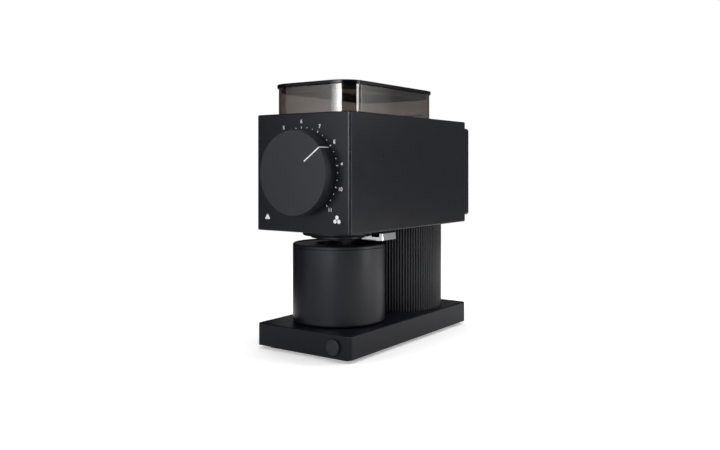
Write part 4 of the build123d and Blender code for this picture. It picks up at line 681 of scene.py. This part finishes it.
class Workpiece:
    """A mesh on the bench, shaped step by step with the modelling operators."""

    def __init__(self, name: str, body: bpy.types.Object) -> None:
        """Names an object as a workpiece.

        Args:
            name: The piece's name.
            body: The object.
        """
        self.body = body
        body.name = name

    @classmethod
    def start(cls, name: str, add: Callable[..., set], **how: object) -> "Workpiece":
        """Starts a piece from a primitive.

        Args:
            name: Name of the new piece.
            add: The operator that adds the primitive.
            **how: The operator's arguments.

        Returns:
            The piece.
        """
        clear_selection()
        add(**how)
        piece = cls(name, bpy.context.object)
        if piece.body.type == "MESH":
            piece.settle()
        return piece

    def copy(self, name: str, place: Vector, turn: float = 0.0) -> "Workpiece":
        """Copies a piece that was modelled at the origin, and its mesh with it.

        Args:
            name: Name of the copy.
            place: Where the copy goes.
            turn: Its turn about Y in radians.

        Returns:
            The copy, in its place.
        """
        take_up(self.body)
        bpy.ops.object.duplicate()
        twin = Workpiece(name, bpy.context.object)
        twin.body.location = place
        twin.body.rotation_euler = (0.0, turn, 0.0)
        twin.settle()
        return twin

    def discard(self) -> None:
        """Takes a pattern off the bench once its copies are made."""
        clear_selection()
        bpy.data.meshes.remove(self.body.data)

    def settle(self) -> None:
        """Puts the object's place, turn and scale into its mesh."""
        take_up(self.body)
        bpy.ops.object.transform_apply(location=True, rotation=True, scale=True)

    def pick(
        self,
        faces: Optional[Callable[[bmesh.types.BMFace], bool]] = None,
        edges: Optional[Callable[[bmesh.types.BMEdge], bool]] = None,
    ) -> None:
        """Enters edit mode and selects faces or edges by a test.

        Args:
            faces: Test for faces.
            edges: Test for edges, where no test for faces is given.
        """
        take_up(self.body)
        bpy.ops.object.mode_set(mode="EDIT")
        bpy.ops.mesh.select_mode(type="FACE" if faces else "EDGE")
        bpy.ops.mesh.select_all(action="DESELECT")
        shape = bmesh.from_edit_mesh(self.body.data)
        items, test = (shape.faces, faces) if faces else (shape.edges, edges)
        for item in items:
            if test(item):
                item.select_set(True)
        shape.select_flush_mode()
        bmesh.update_edit_mesh(self.body.data)

    def finish(self, rider_of: str, finish: str) -> bpy.types.Object:
        """Paints the piece and hands it to its moving body.

        Args:
            rider_of: The body that it rides on.
            finish: A key of FINISHES.

        Returns:
            The finished object.
        """
        self.settle()
        paints.coat(self.body, finish)
        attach(self.body, rider_of)
        clear_selection()
        return self.body


def join(name: str, pieces: Sequence[Workpiece]) -> Workpiece:
    """Joins workpieces into the first one.

    Args:
        name: The joined piece's name.
        pieces: The workpieces.

    Returns:
        The joined piece.
    """
    clear_selection()
    for piece in pieces:
        piece.body.select_set(True)
    bpy.context.view_layer.objects.active = pieces[0].body
    bpy.ops.object.join()
    return Workpiece(name, pieces[0].body)


# ---------------------------------------------------------------- sub-assemblies
@dataclass
class DialScale:
    """Figures, ticks and signs printed round the dial, and the line on the dial.

    Sizes are in metres and angles in radians, except the step between figures, in degrees, and
    the signs' spots and spread, in millimetres from the dial's axis.
    """

    step: float = 27.0
    top_figure: int = 6
    first_figure: int = 2
    last_figure: int = 11
    rest_figure: float = 8.0
    print_height: float = 0.06 * MM
    corner_segments: int = 3
    figure_radius: float = 44.6 * MM
    figure_height: float = 3.3 * MM
    size_per_height: float = 1.38
    stroke_growth: float = 0.05 * MM
    tick_inner: float = 38.6 * MM
    tick_outer: float = 40.4 * MM
    tick_width: float = 0.7 * MM
    tick_corner: float = 0.2 * MM
    dots_between: int = 2
    dot_ring: float = 39.5 * MM
    dot_radius: float = 0.42 * MM
    dot_sides: int = 20
    dot_rim: float = 0.15
    facing: float = 0.9
    grain_radius: float = 1.75 * MM
    grain_spots: tuple[tuple[float, float], ...] = ((38.8, -37.6), (36.8, -41.0), (40.8, -41.0))
    peak_spot: tuple[float, float] = (-39.5, -40.2)
    peak_radius: float = 3.35 * MM
    peak_corner: float = 0.3 * MM
    peak_narrowing: float = 0.6
    peak_spread: float = 0.95
    peak_tilt: float = 0.2
    line_start: float = 16.7 * MM
    line_width: float = 1.0 * MM
    line_edge: float = 0.3
    line_edge_segments: int = 2
    middle: Vector = field(init=False)
    dial_front: float = field(init=False)
    dial_back: float = field(init=False)
    dial_radius: float = field(init=False)
    wall: float = field(init=False)

    def __post_init__(self) -> None:
        """Reads the dial's and the wall's places from the frame."""
        low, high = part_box("grind_dial")
        self.middle = (low + high) / 2
        self.dial_front = low.y
        self.dial_back = high.y
        self.dial_radius = (high.x - low.x) / 2
        self.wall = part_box("housing_shell")[0].y

    def angle(self, figure: float) -> float:
        """Direction of a figure on the scale, in radians from +X towards +Z."""
        return math.radians(90.0 - (figure - self.top_figure) * self.step)

    def spot(self, radius: float, angle: float, depth: float) -> Vector:
        """Finds a point round the dial's axis.

        Args:
            radius: Distance from the axis.
            angle: Direction from the axis, in radians from +X towards +Z.
            depth: The point's Y.

        Returns:
            The point.
        """
        across, up = radius * math.cos(angle), radius * math.sin(angle)
        return Vector((self.middle.x + across, depth, self.middle.z + up))

    def on_wall(self, across: float, up: float) -> Vector:
        """A point on the housing's front, in millimetres from the dial's axis."""
        return Vector((self.middle.x + across * MM, self.wall, self.middle.z + up * MM))

    def runs_through(self, edge: bmesh.types.BMEdge) -> bool:
        """Whether an edge runs through the thickness of the print."""
        return abs((edge.verts[0].co - edge.verts[1].co).y) > self.print_height

    def figure(self, number: int) -> Workpiece:
        """Prints one figure, upright beside its tick.

        Args:
            number: The figure.

        Returns:
            The figure as a mesh.
        """
        depth = self.wall - self.print_height
        piece = Workpiece.start(
            f"figure_{number}",
            bpy.ops.object.text_add,
            location=self.spot(self.figure_radius, self.angle(number), depth),
            rotation=(QUARTER_TURN, 0, 0),
        )
        lettering = piece.body.data
        lettering.body = str(number)
        lettering.size = self.size_per_height * self.figure_height
        lettering.align_x = "CENTER"
        lettering.align_y = "CENTER"
        lettering.extrude = self.print_height
        lettering.offset = self.stroke_growth
        take_up(piece.body)
        bpy.ops.object.convert(target="MESH")
        piece.settle()
        return piece

    def tick(self) -> Workpiece:
        """Models the stroke that marks a figure, at the origin and along X.

        Returns:
            The stroke, for copying.
        """
        stroke = Workpiece.start(
            "tick",
            bpy.ops.mesh.primitive_cube_add,
            size=1.0,
            location=(0, 0, 0),
            scale=(self.tick_outer - self.tick_inner, 2 * self.print_height, self.tick_width),
        )
        stroke.pick(edges=self.runs_through)
        bpy.ops.mesh.bevel(offset=self.tick_corner, segments=self.corner_segments)
        return stroke

    def dot(self, name: str, radius: float) -> Workpiece:
        """Models a printed round dot at the origin.

        Args:
            name: The dot's name.
            radius: The dot's radius.

        Returns:
            The dot, for copying.
        """
        piece = Workpiece.start(
            name,
            bpy.ops.mesh.primitive_cylinder_add,
            vertices=self.dot_sides,
            radius=radius,
            depth=2 * self.print_height,
            location=(0, 0, 0),
            rotation=(QUARTER_TURN, 0, 0),
        )
        piece.pick(faces=lambda face: face.normal.y < -self.facing)
        bpy.ops.mesh.inset(thickness=self.dot_rim * radius, depth=0.0)
        return piece

    def peak(self) -> Workpiece:
        """Models one half of the sign for fine grounds at the origin.

        Returns:
            The half, for copying.
        """
        half = Workpiece.start(
            "peak",
            bpy.ops.mesh.primitive_cone_add,
            vertices=3,
            radius1=self.peak_radius,
            radius2=self.peak_radius,
            depth=2 * self.print_height,
            location=(0, 0, 0),
            rotation=(QUARTER_TURN, 0, 0),
            scale=(self.peak_narrowing, 1.0, 1.0),
        )
        half.pick(edges=self.runs_through)
        bpy.ops.mesh.bevel(offset=self.peak_corner, segments=self.corner_segments)
        return half

    def scale_marks(self) -> bpy.types.Object:
        """Prints the ring of figures, ticks and dots.

        Returns:
            The ring.
        """
        tick = self.tick()
        dot = self.dot("dot", self.dot_radius)
        tick_ring = (self.tick_inner + self.tick_outer) / 2
        parts = self.dots_between + 1
        pieces = []
        for figure in range(self.first_figure, self.last_figure + 1):
            turn = self.angle(figure)
            place = self.spot(tick_ring, turn, self.wall)
            pieces.append(self.figure(figure))
            pieces.append(tick.copy(f"tick_{figure}", place, -turn))
            if figure < self.last_figure:
                for part in range(1, parts):
                    turn = self.angle(figure + part / parts)
                    place = self.spot(self.dot_ring, turn, self.wall)
                    pieces.append(dot.copy(f"dot_{figure}_{part}", place))
        tick.discard()
        dot.discard()
        return join("grind_scale", pieces).finish("housing", "print_white")

    def signs(self) -> bpy.types.Object:
        """Prints a peak of fine grounds on the left and three coarse grains on the right.

        Returns:
            The two signs.
        """
        grain = self.dot("grain", self.grain_radius)
        peak = self.peak()
        pieces = [
            grain.copy(f"grain_{number}", self.on_wall(*spot))
            for number, spot in enumerate(self.grain_spots)
        ]
        across, up = self.peak_spot
        for side in (-1, 1):
            place = self.on_wall(across + side * self.peak_spread, up)
            pieces.append(peak.copy(f"peak_{side}", place, -side * self.peak_tilt))
        grain.discard()
        peak.discard()
        return join("grind_signs", pieces).finish("housing", "print_white")

    def strip(self, name: str, place: Vector, size: Triple) -> Workpiece:
        """Prints a bar on the dial, along the pointer's direction.

        Args:
            name: The bar's name.
            place: Its middle.
            size: Its length outwards, its depth along Y and its width.

        Returns:
            The bar.
        """
        bar = Workpiece.start(
            name,
            bpy.ops.mesh.primitive_cube_add,
            size=1.0,
            location=place,
            rotation=(0, -self.angle(self.rest_figure), 0),
            scale=size,
        )
        bar.pick(edges=lambda edge: True)
        bpy.ops.mesh.bevel(
            offset=self.line_edge * self.print_height, segments=self.line_edge_segments
        )
        return bar

    def pointer(self) -> bpy.types.Object:
        """Prints the white line across the dial's face and along its side.

        Returns:
            The line.
        """
        turn = self.angle(self.rest_figure)
        proud = self.print_height
        length = self.dial_radius + proud - self.line_start
        depth = self.dial_back - self.dial_front
        on_face = self.spot(self.line_start + length / 2, turn, self.dial_front)
        on_side = self.spot(self.dial_radius, turn, self.dial_front + (depth - proud) / 2)
        strips = [
            self.strip("pointer_face", on_face, (length, 2 * proud, self.line_width)),
            self.strip("pointer_side", on_side, (2 * proud, depth + proud, self.line_width)),
        ]
        return join("pointer_line", strips).finish("dial", "print_white")

    def build(self) -> Pieces:
        """Prints the scale, the signs and the pointer."""
        return [self.scale_marks(), self.signs(), self.pointer()]


class CadDress:
    """Gives every CAD node its procedural finish."""

    def build(self) -> Pieces:
        """Paints the nodes by the record's slots.

        Returns:
            The nodes.
        """
        nodes = []
        for subpart in frame["record"]["subparts"]:
            node = frame["nodes"][subpart["node"]]
            paints.coat(node, FINER.get(subpart["node"], subpart["material_slot"]))
            nodes.append(node)
        return nodes


@dataclass(frozen=True)
class ReturnSpring:
    """A coil spring copied from its CAD node, in the node's place, with the travel that its joint
    allows.

    The axis points from the coil's free end to its fixed end.
    """

    name: str
    node: str
    joint: str
    axis: Vector

    def copied(self) -> bpy.types.Object:
        """Gives the coil a mesh of its own, painted like the node it stands for.

        Returns:
            The coil.
        """
        take_up(frame["nodes"][self.node])
        bpy.ops.object.duplicate()
        coil = bpy.context.view_layer.objects.active
        coil.name = coil.data.name = self.name
        del coil["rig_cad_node"]
        open_whole(coil)
        bpy.ops.mesh.remove_doubles(threshold=MERGE_DISTANCE)
        clear_selection()
        return coil

    def travel(self) -> float:
        """Says how far the joint's limit pushes the coil's free end.

        Returns:
            The travel in metres.
        """
        joint = next(joint for joint in frame["joints"] if joint["name"] == self.joint)
        if joint["type"] == "slide":
            return joint["range_m"][1]
        pivot = Vector(joint["pos_m"])
        arm = max(abs(corner.x - pivot.x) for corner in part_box(self.node))
        return arm * math.sin(math.radians(joint["range_deg"][1]))

    def build(self) -> Pieces:
        """Puts the coil on the node's body in the node's place and hides the node.

        Returns:
            The coil, in a list of its own.
        """
        coil = self.copied()
        subpart = next(s for s in frame["record"]["subparts"] if s["node"] == self.node)
        low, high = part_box(self.node)
        anchor = max(low, high, key=self.axis.dot)
        length = abs((high - low).dot(self.axis))
        travel = self.travel()
        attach(coil, coil["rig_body"])
        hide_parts(self.node)
        1.0 - travel / length
        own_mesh(coil)
        log.info("%s: %.2f mm long, gives %.2f mm", self.name, length / MM, travel / MM)
        return [coil]


# ---------------------------------------------------------------- studio
@dataclass(frozen=True)
class Softbox:
    """A soft lamp that faces the object: sizes in metres, power in watts."""

    name: str
    place: Triple
    width: float
    tall: float
    power: float


@dataclass(frozen=True)
class Screen:
    """A standing screen that only reflections see, shaded from one side to the other.

    It faces the origin from its azimuth, in degrees from +X. The tones are the glow at its two
    sides, and an ease over 1 keeps the first tone for longer.
    """

    name: str
    azimuth: float
    distance: float
    width: float
    low: float
    high: float
    first_tone: float
    last_tone: float
    ease: float = 1.0


@dataclass
class Studio:
    """Pale floor, soft lamps, white surroundings and the camera.

    Places are in metres, the heading in degrees, and the lens and sensor in millimetres. The
    floor turns pure white from a distance, over a distance.
    """

    eye: Vector = field(default_factory=lambda: Vector((0.42247, -0.61450, 0.16486)))
    aim: Vector = field(default_factory=lambda: Vector((0.0, 0.0, 0.12)))
    heading: float = 35.34
    lens: float = 37.76
    sensor: float = 36.0
    shift_down: float = 0.0807
    nearest: float = 0.01
    ambient: float = 0.44
    floor_size: float = 40.0
    floor_tone: float = 0.97
    floor_glow: float = 0.27
    white_from: float = 0.45
    white_over: float = 0.5
    softboxes: tuple[Softbox, ...] = (
        Softbox("softbox_front_left", (-0.62, -1.30, 0.50), 0.70, 0.70, 6.0),
        Softbox("softbox_right", (0.95, 1.00, 0.90), 0.60, 0.60, 7.0),
        Softbox("softbox_top", (0.0, 0.1, 1.6), 1.2, 1.2, 14.0),
    )
    # Name, azimuth, distance, width, lower and upper edge, first and last tone, ease.
    screens: tuple[Screen, ...] = (
        Screen("scrim_front_left", -103.0, 0.55, 0.766, 0.09, 0.235, 0.0, 27.0, 2.3),
        Screen("scrim_high_left", -103.0, 0.55, 0.766, 0.235, 0.30, 0.0, 42.0, 2.3),
        Screen("scrim_top_left", -103.0, 0.55, 0.766, 0.30, 0.60, 0.0, 25.0, 2.4),
        Screen("screen_front_right", -27.0, 0.60, 0.80, 0.06, 0.60, 0.02, 0.02),
        Screen("strip_right", 6.0, 0.378, 0.09, 0.0, 0.55, 14.0, 14.0),
        Screen("screen_low_right", -12.0, 0.30, 0.62, 0.0, 0.052, 3.5, 8.0, 1.4),
        Screen("screen_low_rear", 44.0, 0.34, 0.16, 0.0, 0.04, 5.5, 5.5),
        Screen("screen_high_right", 41.0, 0.45, 0.159, 0.24, 0.33, 4.0, 0.4),
        Screen("screen_rear_right", 60.0, 0.70, 1.15, 0.0, 1.60, 1.9, 0.02, 0.3),
        Screen("screen_rear_left", 125.0, 0.70, 0.75, 0.0, 1.60, 0.06, 0.26),
        Screen("screen_left", 190.0, 0.24, 0.42, 0.0, 0.50, 0.01, 0.01),
    )

    def seen(self, recipe: Recipe) -> Value:
        """Marks the rays that show the background itself.

        Args:
            recipe: The node tree of the floor or of the world.

        Returns:
            1 for rays from the camera, off a reflection or through glass, and 0 for the others.
        """
        path = recipe.node("ShaderNodeLightPath")
        direct = recipe.value(path, "Is Camera Ray")
        through_glass = recipe.value(path, "Is Transmission Ray")
        reflected = recipe.value(path, "Is Glossy Ray")
        return direct.at_least(through_glass).at_least(reflected)

    def floor(self) -> bpy.types.Object:
        """Lays a pale floor that is white to the eye and still takes the object's shadow.

        Returns:
            The floor.
        """
        sweep = Workpiece.start(
            "studio_floor",
            bpy.ops.mesh.primitive_plane_add,
            size=self.floor_size,
            location=(0, 0, 0),
        ).body
        material, recipe = new_material(sweep.name)
        tone = solid((self.floor_tone, self.floor_tone, self.floor_tone))
        pale = recipe.node("ShaderNodeBsdfDiffuse", {}, {"Color": tone}).outputs[0]
        glow = recipe.glow(self.floor_glow)
        bright = recipe.node("ShaderNodeAddShader", {}, {0: pale, 1: glow}).outputs[0]
        reach = recipe.node("ShaderNodeVectorMath", {"operation": "LENGTH"}, {0: recipe.place()})
        far = (recipe.value(reach, "Value") - self.white_from) / self.white_over
        shown = recipe.blend(far.at_least(0.0).at_most(1.0), bright, recipe.glow(1.0))
        recipe.end(Surface=recipe.blend(self.seen(recipe), pale, shown))
        sweep.data.materials.append(material)
        return sweep

    def surroundings(self) -> None:
        """Makes the world white to the eye and in reflections, and an even light elsewhere."""
        world = bpy.data.worlds.new("studio")
        world.use_nodes = True
        bpy.context.scene.world = world
        recipe = Recipe(world.node_tree)
        both = recipe.blend(self.seen(recipe), recipe.sky(self.ambient), recipe.sky(1.0))
        recipe.node("ShaderNodeOutputWorld", {}, {"Surface": both})

    def lamp(self, box: Softbox) -> bpy.types.Object:
        """Hangs a softbox and turns it to the object.

        Args:
            box: Where it hangs, how large it is and how strong.

        Returns:
            The lamp.
        """
        data = bpy.data.lights.new(box.name, "AREA")
        data.shape = "RECTANGLE"
        data.size = box.width
        data.size_y = box.tall
        data.energy = box.power
        lamp = bpy.data.objects.new(box.name, data)
        bpy.context.collection.objects.link(lamp)
        lamp.location = box.place
        lamp.visible_camera = False
        lamp.visible_glossy = False
        lamp.rotation_euler = (self.aim - lamp.location).to_track_quat("-Z", "Y").to_euler()
        return lamp

    def screen(self, plan: Screen) -> bpy.types.Object:
        """Stands a screen beside the set, for reflections only.

        Args:
            plan: Where it stands, how large it is and how bright from side to side.

        Returns:
            The screen.
        """
        turn = math.radians(plan.azimuth)
        out = Vector((math.cos(turn), math.sin(turn), 0.0))
        across = Vector((-out.y, out.x, 0.0))
        middle = out * plan.distance + Vector((0.0, 0.0, (plan.low + plan.high) / 2))
        board = Workpiece.start(
            plan.name,
            bpy.ops.mesh.primitive_plane_add,
            size=1.0,
            location=middle,
            rotation=(QUARTER_TURN, 0, turn + QUARTER_TURN),
        ).body
        open_whole(board)
        bpy.ops.transform.resize(
            value=(plan.width, 1.0, plan.high - plan.low),
            orient_type="GLOBAL",
            orient_matrix=(across, out, (0, 0, 1)),
            orient_matrix_type="GLOBAL",
            center_override=middle,
        )
        clear_selection()
        material, recipe = new_material(plan.name)
        along = recipe.node(
            "ShaderNodeVectorMath", {"operation": "DOT_PRODUCT"}, {0: recipe.place(), 1: across}
        )
        share = recipe.value(along, "Value") / plan.width + 0.5
        first, last = recipe.glow(plan.first_tone), recipe.glow(plan.last_tone)
        recipe.end(Surface=recipe.blend(share**plan.ease, first, last))
        board.data.materials.append(material)
        board.visible_camera = False
        board.visible_diffuse = False
        board.visible_transmission = False
        board.visible_shadow = False
        return board

    def camera(self) -> bpy.types.Object:
        """Sets a level camera on the front right.

        Returns:
            The camera.
        """
        data = bpy.data.cameras.new("camera")
        data.lens = self.lens
        data.sensor_width = self.sensor
        data.shift_y = -self.shift_down
        data.clip_start = self.nearest
        camera = bpy.data.objects.new("camera", data)
        bpy.context.collection.objects.link(camera)
        camera.location = self.eye
        camera.rotation_euler = (QUARTER_TURN, 0, math.radians(self.heading))
        bpy.context.scene.camera = camera
        return camera

    def build(self) -> Pieces:
        """Sets up the room.

        Returns:
            The floor, the lamps, the screens and the camera.
        """
        floor = self.floor()
        self.surroundings()
        lamps = [self.lamp(box) for box in self.softboxes]
        screens = [self.screen(plan) for plan in self.screens]
        camera = self.camera()
        bpy.context.scene.view_settings.view_transform = "Standard"
        return [floor, *lamps, *screens, camera]


def report(piece: bpy.types.Object) -> None:
    """Logs a piece's name, with its faces and finish where it is a mesh.

    Args:
        piece: The piece.
    """
    if piece.type == "MESH":
        finish = piece.data.materials[0].name
        log.info("%s: %d faces, %s", piece.name, len(piece.data.polygons), finish)
    else:
        log.info("%s: %s", piece.name, piece.type.lower())


def main() -> None:
    """Builds the dressed grinder and its studio, and reports each piece."""
    logging.basicConfig(level=logging.INFO, format="%(name)s %(message)s")
    clear_selection()
    button_axis, knocker_axis = Vector((0, 1, 0)), Vector((0, 0, -1))
    for assembly in (
        CadDress(),
        ReturnSpring("button_return_coil", "button_spring", "start_press", button_axis),
        ReturnSpring("knocker_return_coil", "knocker_spring", "knocker_press", knocker_axis),
        DialScale(),
        Studio(),
    ):
        for piece in assembly.build():
            report(piece)


if __name__ == "__main__":
    main()
